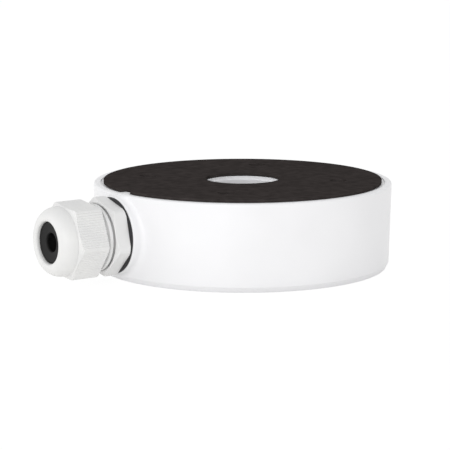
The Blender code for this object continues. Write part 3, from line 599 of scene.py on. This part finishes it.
def wall_ring(shape):
    """Rim, drafted wall, lip, ledge and the side of the hollow, turned in one profile."""
    buried = RECESS_FLOOR - PLATE_THICKNESS / 2
    profile = [(RECESS_RADIUS, buried)]
    inner_corner = (RECESS_RADIUS + RIM_INNER_FILLET, TOP - RIM_INNER_FILLET)
    profile += arc(inner_corner, RIM_INNER_FILLET, 180, 90, ROUNDING_STEPS)
    profile += arc((RIM_RADIUS - RIM_FILLET, TOP - RIM_FILLET), RIM_FILLET, 90, 0)
    edge = BASE_EDGE_FILLET
    lip_corner = (OPENING_RADIUS + RIM_INNER_FILLET, RIM_INNER_FILLET)
    profile += arc((BASE_RADIUS - edge, BASE_CHAMFER + edge), edge, 0, -BASE_CHAMFER_DEG, ROUNDING_STEPS)
    profile += arc((BASE_RADIUS - BASE_CHAMFER / 2 - edge, edge), edge, -BASE_CHAMFER_DEG, -90, FINE_ROUNDING_STEPS)
    profile += arc(lip_corner, RIM_INNER_FILLET, -90, -180, ROUNDING_STEPS)
    profile += [(OPENING_RADIUS, LEDGE_HEIGHT), (CAVITY_RADIUS, LEDGE_HEIGHT)]
    profile += arc((CAVITY_RADIUS - CAVITY_FILLET, CEILING - CAVITY_FILLET), CAVITY_FILLET, 0, 90)
    profile += [(CAVITY_RADIUS - CAVITY_FILLET, buried)]
    spun(shape, profile, WALL_STEPS)


def wall_plate(shape):
    """Recess floor with its holes, and the collar round the cable hole."""
    edge = RECESS_RADIUS + OVERLAP
    outline = [on_circle(edge, 360.0 * step / WALL_STEPS).xy for step in range(WALL_STEPS)]
    holes = [(0.0, 0.0, CABLE_HOLE_RADIUS, HOLE_STEPS)]
    for angle in SCREW_ANGLES_DEG:
        at = on_circle(WALL_SCREW_CIRCLE, angle)
        holes.append((at.x, at.y, WALL_SCREW_HOLE_RADIUS, SMALL_STEPS))
    sheet_with_holes(shape, outline, holes, CEILING, RECESS_FLOOR)
    low = CEILING - COLLAR_HEIGHT
    high = RECESS_FLOOR - PLATE_THICKNESS / 2
    round_edge = (COLLAR_RADIUS - RIM_INNER_FILLET, low + RIM_INNER_FILLET)
    profile = [(COLLAR_BORE_RADIUS, high), (COLLAR_RADIUS, high)]
    profile += arc(round_edge, RIM_INNER_FILLET, 0, -90, ROUNDING_STEPS)
    profile += [(COLLAR_BORE_RADIUS, low)]
    spun(shape, profile, HOLE_STEPS)


def hollow_details(shape):
    """Screw bosses, pads, ribs and earthing boss on the inner side of the wall plate."""
    root = CEILING + OVERLAP
    for angle in SCREW_ANGLES_DEG:
        at = on_circle(PLATE_SCREW_CIRCLE, angle)
        bar(shape, SCREW_BOSS_RADIUS, LEDGE_HEIGHT, root, at)
        low = (PLATE_SCREW_CIRCLE, -WEB_HALF_WIDTH, LEDGE_HEIGHT + OVERLAP)
        block(shape, low, (CAVITY_RADIUS + OVERLAP, WEB_HALF_WIDTH, root), angle)
        at = on_circle(WALL_SCREW_CIRCLE, angle)
        ring = [(WALL_SCREW_HOLE_RADIUS, root), (SCREW_PAD_RADIUS, root)]
        ring += [(SCREW_PAD_RADIUS, CEILING - SCREW_PAD_HEIGHT)]
        ring += [(WALL_SCREW_HOLE_RADIUS, CEILING - SCREW_PAD_HEIGHT)]
        put(shape, spun(shape, ring, SMALL_STEPS), Matrix.Translation(at))
    for angle in RIB_ANGLES_DEG:
        low = (COLLAR_RADIUS - OVERLAP, -RIB_THICKNESS / 2, CEILING - RIB_HEIGHT)
        block(shape, low, (CAVITY_RADIUS + OVERLAP, RIB_THICKNESS / 2, root), angle, RIB_ROUNDING)
    at = on_circle(EARTH_CIRCLE, EARTH_ANGLE_DEG)
    bar(shape, EARTH_BOSS_RADIUS, CEILING - EARTH_BOSS_HEIGHT, root, at)


def mat_key(shape):
    """Key in the recess that turns the mat the right way round."""
    low = (RECESS_RADIUS - KEY_LENGTH, -KEY_WIDTH / 2, RECESS_FLOOR - OVERLAP)
    high = (RECESS_RADIUS + RIM_WIDTH / 2, KEY_WIDTH / 2, TOP - KEY_DROP)
    block(shape, low, high, 180.0, KEY_ROUNDING)


def boss_point(radius, angle, height, from_wall):
    """Point in the gland's terms; from_wall counts its height from the housing's curved wall."""
    up = radius * math.cos(angle)
    across = radius * math.sin(angle)
    if from_wall:
        up = min(up, TOP - RIM_INNER_FILLET - GLAND_Z)
        outside = wall_radius(GLAND_Z + up)
        height += math.sqrt(outside**2 - across**2) - PAD_DISTANCE
    return Vector((up, across, height))


def gland_boss(shape):
    """Round boss with its flat face, the fillet that runs into the curved wall, and the sleeve inside."""
    edge = BOSS_EDGE_FILLET
    foot = BOSS_FOOT_FILLET
    rings = [(BOSS_BORE_RADIUS, BOSS_FACE, False)]
    face_edge = arc((BOSS_RADIUS - edge, BOSS_FACE - edge), edge, 90, 0, FINE_ROUNDING_STEPS)
    rings += [(radius, height, False) for radius, height in face_edge]
    foot_fillet = arc((BOSS_RADIUS + foot, foot), foot, 180, 270, FILLET_STEPS)
    rings += [(radius, height, True) for radius, height in foot_fillet]
    rings += [(BOSS_RADIUS + foot, -BOSS_BURIED, True), (BOSS_BORE_RADIUS, -BOSS_BURIED, True)]
    # Each ring stands at its own number on Z until it gets its place
    verts = spun(shape, [(ring[0], number) for number, ring in enumerate(rings)], BOSS_STEPS)
    for vert in verts:
        radius, height, from_wall = rings[round(vert.co.z)]
        vert.co = boss_point(radius, math.atan2(vert.co.y, vert.co.x), height, from_wall)
    put(shape, verts, BOX.inverted() @ GLAND)
    sleeve = [(BOSS_BORE_RADIUS, -THREADED_BOSS_START), (THREADED_BOSS_RADIUS, -THREADED_BOSS_START)]
    sleeve += [(THREADED_BOSS_RADIUS, -THREADED_BOSS_DEPTH), (BOSS_BORE_RADIUS, -THREADED_BOSS_DEPTH)]
    put(shape, spun(shape, sleeve, BOSS_STEPS), BOX.inverted() @ GLAND)


def make_housing(finish):
    shape = bmesh.new()
    wall_ring(shape)
    wall_plate(shape)
    hollow_details(shape)
    mat_key(shape)
    gland_boss(shape)
    piece("housing_casting", shape, BOX, finish, "box", ["housing"])


def make_mat(finish):
    """Die-cut foam mat: round, with a cable hole, four screw holes and the notch over the key."""
    radius = mat_high.y
    half_notch = KEY_WIDTH / 2 + NOTCH_CLEARANCE
    notch_end = RECESS_RADIUS - KEY_LENGTH - NOTCH_CLEARANCE
    notch_deg = math.degrees(math.asin(half_notch / radius))
    sweep = 360.0 - 2 * notch_deg
    outline = []
    for step in range(WALL_STEPS + 1):
        outline.append(on_circle(radius, notch_deg - 180.0 + sweep * step / WALL_STEPS).xy)
    corner = NOTCH_CORNER_RADIUS
    for side, start_deg in ((1.0, 90.0), (-1.0, 0.0)):
        middle = Vector((-notch_end - corner, side * (half_notch - corner)))
        for step in range(ARC_STEPS):
            outline.append(middle + on_circle(corner, start_deg - 90.0 * step / (ARC_STEPS - 1)).xy)
    holes = [(0.0, 0.0, CABLE_HOLE_RADIUS, HOLE_STEPS)]
    for angle in SCREW_ANGLES_DEG:
        at = on_circle(WALL_SCREW_CIRCLE, angle)
        holes.append((at.x, at.y, MAT_SCREW_HOLE_RADIUS, SMALL_STEPS))
    shape = bmesh.new()
    sheet_with_holes(shape, outline, holes, mat_low.z, mat_high.z)
    bmesh.ops.recalc_face_normals(shape, faces=shape.faces)
    sharp = math.radians(SHARP_ANGLE_DEG)
    cut = [edge for edge in shape.edges if edge.verts[0].co.z == edge.verts[1].co.z
           and edge.verts[0].co.z > (mat_low.z + mat_high.z) / 2 and edge.calc_face_angle(0.0) > sharp]
    bmesh.ops.bevel(
        shape, geom=cut, offset=FOAM_EDGE_ROUNDING, segments=2, profile=0.5, affect="EDGES", material=-1
    )
    piece("foam_mat", shape, BOX, finish, "box", ["wall_mat"])


def hexagon_radius(angle, turn_deg):
    """Radius of a hexagon's outline at an angle, with its corners drawn in to CORNER_RADIUS."""
    turned = math.radians(30.0) - (angle - math.radians(turn_deg)) % math.radians(60.0)
    flat = ACROSS_FLATS / 2 / math.cos(turned)
    return soft_lower(flat, CORNER_RADIUS, CORNER_BLEND)


def soft_lower(first, second, blend):
    """The lower of two values, with the corner between them rounded over blend."""
    share = max(blend - abs(first - second), 0.0) / blend
    return min(first, second) - share * share * blend / 4


def soft_upper(first, second, blend):
    """The higher of two values, with the corner between them rounded over blend."""
    return -soft_lower(-first, -second, blend)


def thread(radius, angle, height, pitch, depth):
    """Radius of a right-handed thread whose crests lie at radius; it climbs along +Z."""
    phase = (height / pitch - angle / (2 * math.pi)) % 1.0
    ridge = abs(2.0 * phase - 1.0)
    return radius - depth * min(1.0, max(0.0, THREAD_STEEPNESS * (ridge - 0.5) + 0.5))


def make_gland_washer(finish):
    """Flat rubber washer, squeezed between flange and boss."""
    low = max(BOSS_FACE, PAD_X - washer_high.x)
    high = PAD_X - washer_low.x
    outer = washer_high.y
    edge = (high - low) * WASHER_EDGE_SHARE
    profile = [(BOSS_BORE_RADIUS, high)]
    profile += arc((outer - edge, high - edge), edge, 90, 0, FINE_ROUNDING_STEPS)
    profile += arc((outer - edge, low + edge), edge, 0, -90, FINE_ROUNDING_STEPS)
    profile += [(BOSS_BORE_RADIUS, low)]
    shape = bmesh.new()
    spun(shape, profile, BOSS_STEPS)
    piece("flat_washer", shape, GLAND, finish, "box", ["gland_washer"])


def flange_radius(angle, height):
    """Hexagon with a small cone on both faces."""
    hexagon = hexagon_radius(angle, FLANGE_TURN_DEG)
    front = FLANGE_FRONT_CHAMFER_RADIUS + (FLANGE_FRONT - height) * FLANGE_CHAMFER_SLOPE
    back = FLANGE_BACK_CHAMFER_RADIUS + (height - FLANGE_BACK) * FLANGE_CHAMFER_SLOPE
    return soft_lower(soft_lower(hexagon, front, FLANGE_BLEND), back, FLANGE_BLEND)


def thread_side(radius, start, end, pitch, points_a_turn):
    """Points (r, z) along a thread at its crests' radius, close enough together for its flanks."""
    return stretch((radius, start), (radius, end), pitch / points_a_turn)


def make_gland_body(finish):
    """Moulded body: hexagon flange, stop ring, two threads, and claws round the seal's pocket."""
    shape = bmesh.new()
    inner_end = PAD_X - body_high.x
    undercut_start = FLANGE_BACK - ENTRY_UNDERCUT_WIDTH
    undercut_radius = ENTRY_THREAD_RADIUS - ENTRY_UNDERCUT_DEPTH
    profile = [(BORE_RADIUS, inner_end), (ENTRY_END_RADIUS, inner_end)]
    profile += thread_side(ENTRY_THREAD_RADIUS, inner_end + ENTRY_CHAMFER,
                           undercut_start - ENTRY_UNDERCUT_WIDTH, THREAD_PITCH, POINTS_A_TURN)
    profile += [(undercut_radius, undercut_start), (undercut_radius, FLANGE_BACK), (FLANGE_SEAT_RADIUS, FLANGE_BACK)]
    profile += side(CORNER_RADIUS, FLANGE_ROWS)
    for step in range(DISH_STEPS + 1):
        along = step / DISH_STEPS
        dish_radius = FLANGE_DISH_RADIUS + (NECK_RADIUS - FLANGE_DISH_RADIUS) * along
        profile.append((dish_radius, FLANGE_FRONT - FLANGE_DISH * (along + 2 * along**2) / 3))
    profile += [(NECK_RADIUS, RING_BACK)]
    profile += arc((RING_RADIUS - RING_EDGE, RING_BACK + RING_EDGE), RING_EDGE, -90, 0, ROUNDING_STEPS)
    profile += arc((RING_RADIUS - RING_EDGE, RING_FRONT - RING_EDGE), RING_EDGE, 0, 90, ROUNDING_STEPS)
    profile += [(RELIEF_RADIUS, RING_FRONT), (RELIEF_RADIUS, RELIEF_END)]
    profile += thread_side(NUT_THREAD_RADIUS, NUT_THREAD_BACK, NUT_THREAD_FRONT, THREAD_PITCH, POINTS_A_TURN)
    profile += [(CLAW_ROOT_RADIUS, CLAW_ROOT), (SEAL_POCKET_RADIUS, CLAW_ROOT)]
    profile += [(SEAL_POCKET_RADIUS, SEAL_SEAT), (BORE_RADIUS, SEAL_SEAT)]

    def body_radius(radius, angle, height):
        on_entry = abs(radius - ENTRY_THREAD_RADIUS) < HAIR and height < FLANGE_BACK
        if radius >= CORNER_RADIUS - NEAR:
            return flange_radius(angle, height)
        if on_entry or abs(radius - NUT_THREAD_RADIUS) < HAIR:
            return thread(radius, angle, height, THREAD_PITCH, THREAD_DEPTH)
        return radius

    reshape(spun(shape, profile, BODY_STEPS), body_radius)
    claw_deg = 360.0 / CLAW_COUNT - math.degrees(CLAW_SLOT / CLAW_TIP_RADIUS)
    for number in range(CLAW_COUNT):
        claw = [(SEAL_POCKET_RADIUS, NUT_THREAD_FRONT), (CLAW_ROOT_RADIUS, NUT_THREAD_FRONT)]
        claw += [(CLAW_TIP_RADIUS, CLAW_TIP - CLAW_TIP_CHAMFER), (CLAW_TIP_RADIUS - CLAW_TIP_CHAMFER, CLAW_TIP)]
        claw += [(SEAL_POCKET_RADIUS, CLAW_TIP)]
        turn = math.radians(360.0 / CLAW_COUNT * number - claw_deg / 2)
        put(shape, spun(shape, claw, CLAW_STEPS, angle_deg=claw_deg), Matrix.Rotation(turn, 4, "Z"))
    piece("gland_body_moulding", shape, GLAND, finish, "box", ["gland_body"])


def dome_radius(height):
    """Radius of the cap nut's dome: a superellipse in section that draws in again towards its neck."""
    if height < DOME_BACK:
        return DOME_BACK_RADIUS - DOME_UNDERCUT * (DOME_BACK - height) ** 2
    along = min(1.0, (height - DOME_BACK) / (DOME_FRONT - DOME_BACK))
    return LIP_RADIUS + (DOME_BACK_RADIUS - LIP_RADIUS) * (1.0 - along**DOME_POWER) ** (1.0 / DOME_POWER)


def across_flat(angle, turn_deg):
    """Place of an angle along its flat of the hexagon, from the flat's middle."""
    turned = math.radians(30.0) - (angle - math.radians(turn_deg)) % math.radians(60.0)
    return ACROSS_FLATS / 2 * math.tan(turned)


def even_steps(verts, turn_deg):
    """Turn each vertex about Z, so that the steps along a hexagon's flats are all the same length."""
    sector = math.radians(60.0)
    for vert in verts:
        angle = math.atan2(vert.co.y, vert.co.x)
        from_middle = (angle - math.radians(turn_deg)) % sector - sector / 2
        even = math.atan(from_middle / (sector / 2) * math.tan(sector / 2))
        vert.co.rotate(Matrix.Rotation(even - from_middle, 3, "Z"))


def grip_depth(angle, height):
    """Depth of the grip grooves, side by side across each flat up to the shoulder."""
    half_flat = ACROSS_FLATS / 2 * math.tan(math.radians(30.0))
    across = across_flat(angle, NUT_TURN_DEG)
    margin = half_flat - GRIP_EDGE - abs(across)
    if margin < 0.0:
        return 0.0
    fade = min(1.0, max(0.0, (GRIP_START - height) / GRIP_FADE))
    valley = 0.5 + 0.5 * math.cos(2 * math.pi * across * GRIP_COUNT / (2 * half_flat))
    return GRIP_DEPTH * valley**2 * fade


def nut_radius(radius, angle, height):
    """Outside of the cap nut: grooved hexagon, hollow shoulder down to the neck, and dome."""
    if radius < NUT_OUTSIDE - NEAR:
        return radius
    hexagon = hexagon_radius(angle, NUT_TURN_DEG) - grip_depth(angle, height)
    fall = math.exp(min(1.0, (SHOULDER - height) / SHOULDER_FALL))
    shoulder = NECK_OF_DOME_RADIUS + (CORNER_RADIUS - NECK_OF_DOME_RADIUS) * fall
    back = NUT_BACK_CHAMFER_RADIUS + (height - NUT_BACK) * NUT_BACK_CHAMFER_SLOPE
    nut = soft_lower(soft_lower(hexagon, shoulder, SHOULDER_EDGE), back, NUT_BACK_BLEND)
    if height < SHOULDER:
        return nut
    if height > DOME_BACK:
        return dome_radius(height)
    return soft_upper(nut, dome_radius(height), DOME_BLEND)


def make_cap_nut(finish):
    """Domed cap nut: the bore closes in a cone to the mouth, whose lip is rounded."""
    shape = bmesh.new()
    lip = LIP_RADIUS - MOUTH_RADIUS
    profile = [(NUT_BORE_RADIUS, NUT_BACK + NUT_BORE_CHAMFER), (NUT_BORE_RADIUS + NUT_BORE_CHAMFER, NUT_BACK)]
    profile += side(NUT_OUTSIDE, NUT_ROWS)
    profile += arc((LIP_RADIUS, DOME_FRONT - lip), lip, 90, 180, FILLET_STEPS)[1:]
    profile += [(MOUTH_RADIUS, NUT_CONE_FRONT), (NUT_BORE_RADIUS, NUT_CONE_BACK)]
    verts = spun(shape, profile, NUT_STEPS)
    put(shape, verts, Matrix.Rotation(math.radians(NUT_TURN_DEG), 4, "Z"))
    even_steps(verts, NUT_TURN_DEG)
    reshape(verts, nut_radius)
    piece("cap_nut_moulding", shape, GLAND, finish, "cap_nut", ["gland_cap_nut"])


def make_gland_seal(finish):
    """Rubber sleeve: dished face, small cable hole that widens behind its lip, and a flared inner end."""
    face_edge = SEAL_FACE - SEAL_DISH
    profile = [(SEAL_RELIEF_RADIUS, face_edge - 2 * SEAL_LIP), (SEAL_HOLE_RADIUS, face_edge - SEAL_LIP)]
    profile += [(SEAL_HOLE_RADIUS, face_edge - SEAL_EDGE), (SEAL_HOLE_RADIUS + SEAL_EDGE, face_edge)]
    profile += [(SEAL_NOSE_RADIUS - SEAL_RIM_WIDTH, SEAL_FACE - SEAL_RIM_DROP)]
    profile += arc((SEAL_NOSE_RADIUS - SEAL_EDGE, SEAL_FACE - SEAL_EDGE), SEAL_EDGE, 90, 0, ROUNDING_STEPS)
    profile += [(SEAL_NOSE_RADIUS, SEAL_NOSE), (SEAL_RADIUS, SEAL_SHOULDER), (SEAL_RADIUS, SEAL_BACK)]
    profile += [(SEAL_FLARE_RADIUS, SEAL_BACK), (SEAL_RELIEF_RADIUS, SEAL_BACK + SEAL_FLARE)]
    shape = bmesh.new()
    spun(shape, profile, SEAL_STEPS)
    piece("seal_sleeve", shape, GLAND, finish, "seal", ["gland_seal"])


def make_camera_plate(finish):
    """Die-cast plate on the camera side, with a collar, screw pockets and camera bosses."""
    shape = bmesh.new()
    radius = plate_high.y
    outline = [on_circle(radius, 360.0 * step / WALL_STEPS).xy for step in range(WALL_STEPS)]
    holes = [(0.0, 0.0, PLATE_HOLE_RADIUS, HOLE_STEPS)]
    for angle in SCREW_ANGLES_DEG:
        at = on_circle(PLATE_SCREW_CIRCLE, angle)
        holes.append((at.x, at.y, POCKET_RADIUS + OVERLAP, SMALL_STEPS))
    for circle, angle in CAMERA_HOLE_PLACES:
        at = on_circle(circle, angle)
        holes.append((at.x, at.y, CAMERA_HOLE_RADIUS + OVERLAP, SMALL_STEPS))
    sheet_with_holes(shape, outline, holes, PLATE_OUTER, PLATE_INNER)
    root = PLATE_OUTER + OVERLAP
    collar = [(PLATE_HOLE_RADIUS, PLATE_COLLAR_TOP), (PLATE_COLLAR_RADIUS, PLATE_COLLAR_TOP)]
    collar += [(PLATE_COLLAR_RADIUS, root), (PLATE_HOLE_RADIUS, root)]
    spun(shape, collar, HOLE_STEPS)
    pocket = [(SCREW_RADIUS + SCREW_CLEARANCE, POCKET_TOP), (POCKET_RADIUS + POCKET_WALL, POCKET_TOP)]
    pocket += [(POCKET_RADIUS + POCKET_WALL, PLATE_FACE), (POCKET_RADIUS, PLATE_FACE)]
    pocket += [(POCKET_RADIUS, POCKET_FLOOR), (SCREW_RADIUS + SCREW_CLEARANCE, POCKET_FLOOR)]
    for angle in SCREW_ANGLES_DEG:
        place = Matrix.Translation(on_circle(PLATE_SCREW_CIRCLE, angle))
        put(shape, spun(shape, pocket, SMALL_STEPS), place)
    boss = [(CAMERA_HOLE_RADIUS, CAMERA_BOSS_TOP), (CAMERA_BOSS_RADIUS, CAMERA_BOSS_TOP)]
    boss += [(CAMERA_BOSS_RADIUS, PLATE_FACE), (CAMERA_HOLE_RADIUS + CAMERA_HOLE_CHAMFER, PLATE_FACE)]
    boss += [(CAMERA_HOLE_RADIUS, PLATE_FACE + CAMERA_HOLE_CHAMFER)]
    for circle, angle in CAMERA_HOLE_PLACES:
        put(shape, spun(shape, boss, SMALL_STEPS), Matrix.Translation(on_circle(circle, angle)))
    piece("camera_side_plate", shape, BOX, finish, "box", ["camera_plate"])


def cross_radius(angle):
    """Outline of the cross recess in a screw's head, at an angle."""
    long_side = max(abs(math.cos(angle)), abs(math.sin(angle)))
    short_side = max(NEAR, min(abs(math.cos(angle)), abs(math.sin(angle))))
    return min(CROSS_HALF_LENGTH / long_side, CROSS_HALF_WIDTH / short_side)


def make_screw(node, finish):
    """Pan head screw, head down, with a threaded shank and a cross recess that narrows to its floor."""
    low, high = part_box(node)
    head_top = low.z + SCREW_HEAD_HEIGHT
    edge = SCREW_HEAD_HEIGHT / 2
    tip = high.z - head_top
    floor = CROSS_DEPTH - SCREW_HEAD_HEIGHT
    thread_end = tip - SCREW_POINT_LENGTH
    profile = [(0.0, tip), (SCREW_RADIUS * SCREW_POINT_SHARE, tip)]
    profile += thread_side(SCREW_RADIUS, thread_end, SCREW_POINT_LENGTH, SCREW_THREAD_PITCH, SCREW_POINTS_A_TURN)
    profile += [(SCREW_RADIUS, 0.0), (SCREW_HEAD_RADIUS - SCREW_HEAD_EDGE, 0.0)]
    profile += [(SCREW_HEAD_RADIUS, -SCREW_HEAD_EDGE)]
    profile += arc((SCREW_HEAD_RADIUS - edge, edge - SCREW_HEAD_HEIGHT), edge, 0, -90)
    profile += [(CROSS_RIM_RADIUS, -SCREW_HEAD_HEIGHT)]
    profile += [(CROSS_RIM_RADIUS - CROSS_RIM_STEP, CROSS_DEPTH / 2 - SCREW_HEAD_HEIGHT)]
    profile += [(CROSS_RIM_RADIUS - 2 * CROSS_RIM_STEP, floor), (0.0, floor)]

    def screw_radius(radius, angle, height):
        if abs(radius - SCREW_RADIUS) < HAIR and height > SCREW_POINT_LENGTH - HAIR:
            return thread(radius, angle, height, SCREW_THREAD_PITCH, SCREW_THREAD_DEPTH)
        if height < floor + CROSS_RIM_STEP and radius < CROSS_RIM_RADIUS + CROSS_RIM_STEP:
            narrower = 1.0 - CROSS_NARROWING * (height + SCREW_HEAD_HEIGHT) / CROSS_DEPTH
            return cross_radius(angle) * narrower
        return radius

    shape = bmesh.new()
    reshape(spun(shape, profile, SCREW_STEPS), screw_radius)
    place = Matrix.Translation(((low.x + high.x) / 2, (low.y + high.y) / 2, head_top))
    piece(node + "_turned", shape, place, finish, "box", [node])


def make_ring(node, inner, finish):
    """Flat ring with rounded edges, in the place of its node."""
    low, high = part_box(node)
    outer = (high.x - low.x) / 2
    thickness = high.z - low.z
    edge = thickness * FLAT_RING_EDGE_SHARE
    profile = [(inner, thickness)]
    profile += arc((outer - edge, thickness - edge), edge, 90, 0, ROUNDING_STEPS)
    profile += arc((outer - edge, edge), edge, 0, -90, ROUNDING_STEPS)
    profile += [(inner, 0.0)]
    shape = bmesh.new()
    spun(shape, profile, WALL_STEPS if outer > RIM_RADIUS / 2 else SMALL_STEPS)
    place = Matrix.Translation(((low.x + high.x) / 2, (low.y + high.y) / 2, low.z))
    piece(node + "_ring", shape, place, finish, "box", [node])


def area_light(name, place, aim, size, watts, color):
    data = bpy.data.lights.new(name, "AREA")
    data.shape = "RECTANGLE"
    data.size, data.size_y = size
    data.energy = watts
    data.color = linear(color)[:3]
    lamp = bpy.data.objects.new(name, data)
    bpy.context.scene.collection.objects.link(lamp)
    lamp.location = place
    lamp.rotation_euler = (Vector(aim) - Vector(place)).to_track_quat("-Z", "Y").to_euler()


def seen_directly(tree):
    """1 for rays that the camera, a reflection or a transmission follows, else 0."""
    path = add_node(tree, "ShaderNodeLightPath")
    mirrored = add_node(
        tree, "ShaderNodeMath",
        {0: path.outputs["Is Glossy Ray"], 1: path.outputs["Is Transmission Ray"]}, operation="MAXIMUM"
    )
    both = add_node(
        tree, "ShaderNodeMath",
        {0: path.outputs["Is Camera Ray"], 1: mirrored.outputs["Value"]}, operation="MAXIMUM"
    )
    return both.outputs["Value"]


def make_world(horizon, zenith):
    """Light tent: white to the eye, and to the object a little dimmer overhead than round about."""
    world = bpy.data.worlds.new("white_studio")
    bpy.context.scene.world = world
    world.use_nodes = True
    tree = world.node_tree
    tree.nodes.clear()
    direction = add_node(tree, "ShaderNodeTexCoord").outputs["Generated"]
    up = add_node(tree, "ShaderNodeSeparateXYZ", {"Vector": direction}).outputs["Z"]
    level = add_node(tree, "ShaderNodeMapRange", {"Value": up, "To Min": horizon, "To Max": zenith})
    tent = add_node(
        tree, "ShaderNodeBackground", {"Color": linear("#ffffff"), "Strength": level.outputs["Result"]}
    )
    white = add_node(tree, "ShaderNodeBackground", {"Color": linear("#ffffff"), "Strength": 1.0})
    mix = add_node(
        tree, "ShaderNodeMixShader",
        {0: seen_directly(tree), 1: tent.outputs["Background"], 2: white.outputs["Background"]},
    )
    add_node(tree, "ShaderNodeOutputWorld", {"Surface": mix.outputs["Shader"]})


def make_floor(size, glow_level, table_level, near_level, shadow_share):
    """Pale light table: white to the eye with a faint shadow; for the object it glows, less so near by."""
    made = bpy.data.materials.new("pale_floor")
    made.use_nodes = True
    tree = made.node_tree
    tree.nodes.clear()
    lit = add_node(tree, "ShaderNodeBsdfDiffuse", {"Color": linear("#f4f4f4")})
    glow = add_node(tree, "ShaderNodeEmission", {"Color": linear("#ffffff"), "Strength": glow_level})
    seen = add_node(
        tree, "ShaderNodeMixShader", {0: shadow_share, 1: glow.outputs["Emission"], 2: lit.outputs["BSDF"]}
    )
    place = add_node(tree, "ShaderNodeTexCoord").outputs["Object"]
    away = add_node(
        tree, "ShaderNodeVectorMath", {0: place, 1: (AXIS_X, 0.0, 0.0)}, operation="DISTANCE"
    )
    level = add_node(
        tree, "ShaderNodeMapRange",
        {"Value": away.outputs["Value"], "From Min": RIM_RADIUS - TABLE_DIP_INSIDE,
         "From Max": RIM_RADIUS + TABLE_DIP_WIDTH, "To Min": near_level, "To Max": table_level},
        interpolation_type="SMOOTHSTEP"
    )
    table = add_node(
        tree, "ShaderNodeEmission", {"Color": linear("#fffefb"), "Strength": level.outputs["Result"]}
    )
    bounce = add_node(
        tree, "ShaderNodeMixShader",
        {0: TABLE_BOUNCE_SHARE, 1: table.outputs["Emission"], 2: lit.outputs["BSDF"]}
    )
    both = add_node(
        tree, "ShaderNodeMixShader",
        {0: seen_directly(tree), 1: bounce.outputs["Shader"], 2: seen.outputs["Shader"]}
    )
    add_node(tree, "ShaderNodeOutputMaterial", {"Surface": both.outputs["Shader"]})
    shape = bmesh.new()
    bmesh.ops.create_grid(shape, x_segments=4, y_segments=4, size=size)
    bmesh.ops.translate(shape, vec=(0.0, 0.0, -TABLE_GAP), verts=shape.verts)
    mesh = bpy.data.meshes.new("pale_floor")
    shape.to_mesh(mesh)
    shape.free()
    mesh.materials.append(made)
    floor = bpy.data.objects.new("pale_floor", mesh)
    bpy.context.scene.collection.objects.link(floor)


def make_camera():
    """Camera that looks at the box as the photograph does, worked out from where the box's axis shows."""
    tilt = math.radians(PHOTO_TILT_DEG)
    middle = PHOTO_SIZE / 2
    right = (BOX_AXIS_PIXEL[0] - middle) / FOCAL_PIXELS * PHOTO_DISTANCE
    down = (BOX_AXIS_PIXEL[1] - middle) / FOCAL_PIXELS * PHOTO_DISTANCE
    ahead = Vector((0.0, math.cos(tilt), -math.sin(tilt)))
    lower = Vector((0.0, -math.sin(tilt), -math.cos(tilt)))
    seen_from = -(Vector((right, 0.0, 0.0)) + lower * down + ahead * PHOTO_DISTANCE)
    seen_from.rotate(Matrix.Rotation(math.radians(-PHOTO_TURN_DEG), 3, "Z"))
    data = bpy.data.cameras.new("photo_camera")
    data.sensor_width = SENSOR_WIDTH
    data.lens = FOCAL_PIXELS / PHOTO_SIZE * SENSOR_WIDTH
    data.clip_start = 0.05
    data.clip_end = 50.0
    camera = bpy.data.objects.new("photo_camera", data)
    bpy.context.scene.collection.objects.link(camera)
    camera.location = seen_from + Vector((AXIS_X, 0.0, 0.0))
    camera.rotation_euler = (math.radians(90.0 - PHOTO_TILT_DEG), 0.0, math.radians(-PHOTO_TURN_DEG))
    bpy.context.scene.camera = camera


bpy.context.scene.view_settings.view_transform = "Standard"
make_camera()

coat = powder_coated_aluminium("powder_coated_aluminium", "#f1f1f3", "#f5f5f7")
plate_coat = powder_coated_aluminium("powder_coated_plate", "#ededef", "#f1f1f3")
foam = foam_rubber("epdm_foam_rubber", "#353130", "#423d3c")
nylon = moulded_nylon("polyamide_body", "#e4e4e4", "#e9e9e9", roughness=0.42)
nut_nylon = moulded_nylon("polyamide_cap_nut", "#e5e5e5", "#eaeae9", roughness=0.40)
gasket = moulded_rubber("nitrile_rubber_washer", "#242426", "#2c2c2e", roughness=0.55, specular=0.30)
seal = moulded_rubber("chloroprene_rubber_seal", "#1e1e1e", "#252525", roughness=0.55, specular=0.15)
silicone = moulded_rubber("silicone_rubber_ring", "#2c2c2d", "#353536", roughness=0.50, specular=0.40)
zinc = plated_metal("zinc_plated_steel", "#c3c6ca", "#d3d6da", roughness=0.25)
brass = plated_metal("brass_sheet", "#c9a45c", "#d9b66d", roughness=0.28)

make_housing(coat)
make_mat(foam)
make_gland_washer(gasket)
make_gland_body(nylon)
make_gland_seal(seal)
make_cap_nut(nut_nylon)
make_camera_plate(plate_coat)
make_ring("plate_seal", ring_high.y - PLATE_SEAL_WIDTH, silicone)
for number in range(1, 5):
    make_screw(f"plate_screw_{number}", zinc)
    make_ring(f"plate_screw_washer_{number}", SCREW_RADIUS + SCREW_CLEARANCE, silicone)
make_screw("earth_screw", zinc)
make_ring("earth_washer", SCREW_RADIUS + SCREW_CLEARANCE, brass)
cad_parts["earth_spring_washer"].data.materials.clear()
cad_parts["earth_spring_washer"].data.materials.append(zinc)

make_world(horizon=0.85, zenith=0.62)
make_floor(size=6.0, glow_level=1.06, table_level=0.91, near_level=0.38, shadow_share=0.12)
middle = (0.0, 0.0, 0.02)
area_light("front_softbox", (-1.42, -1.24, 0.36), aim=middle, size=(1.6, 1.2), watts=13.8, color="#ffffff")
area_light("left_softbox", (-1.50, 0.90, 0.40), aim=middle, size=(1.2, 1.0), watts=3.6, color="#ffffff")
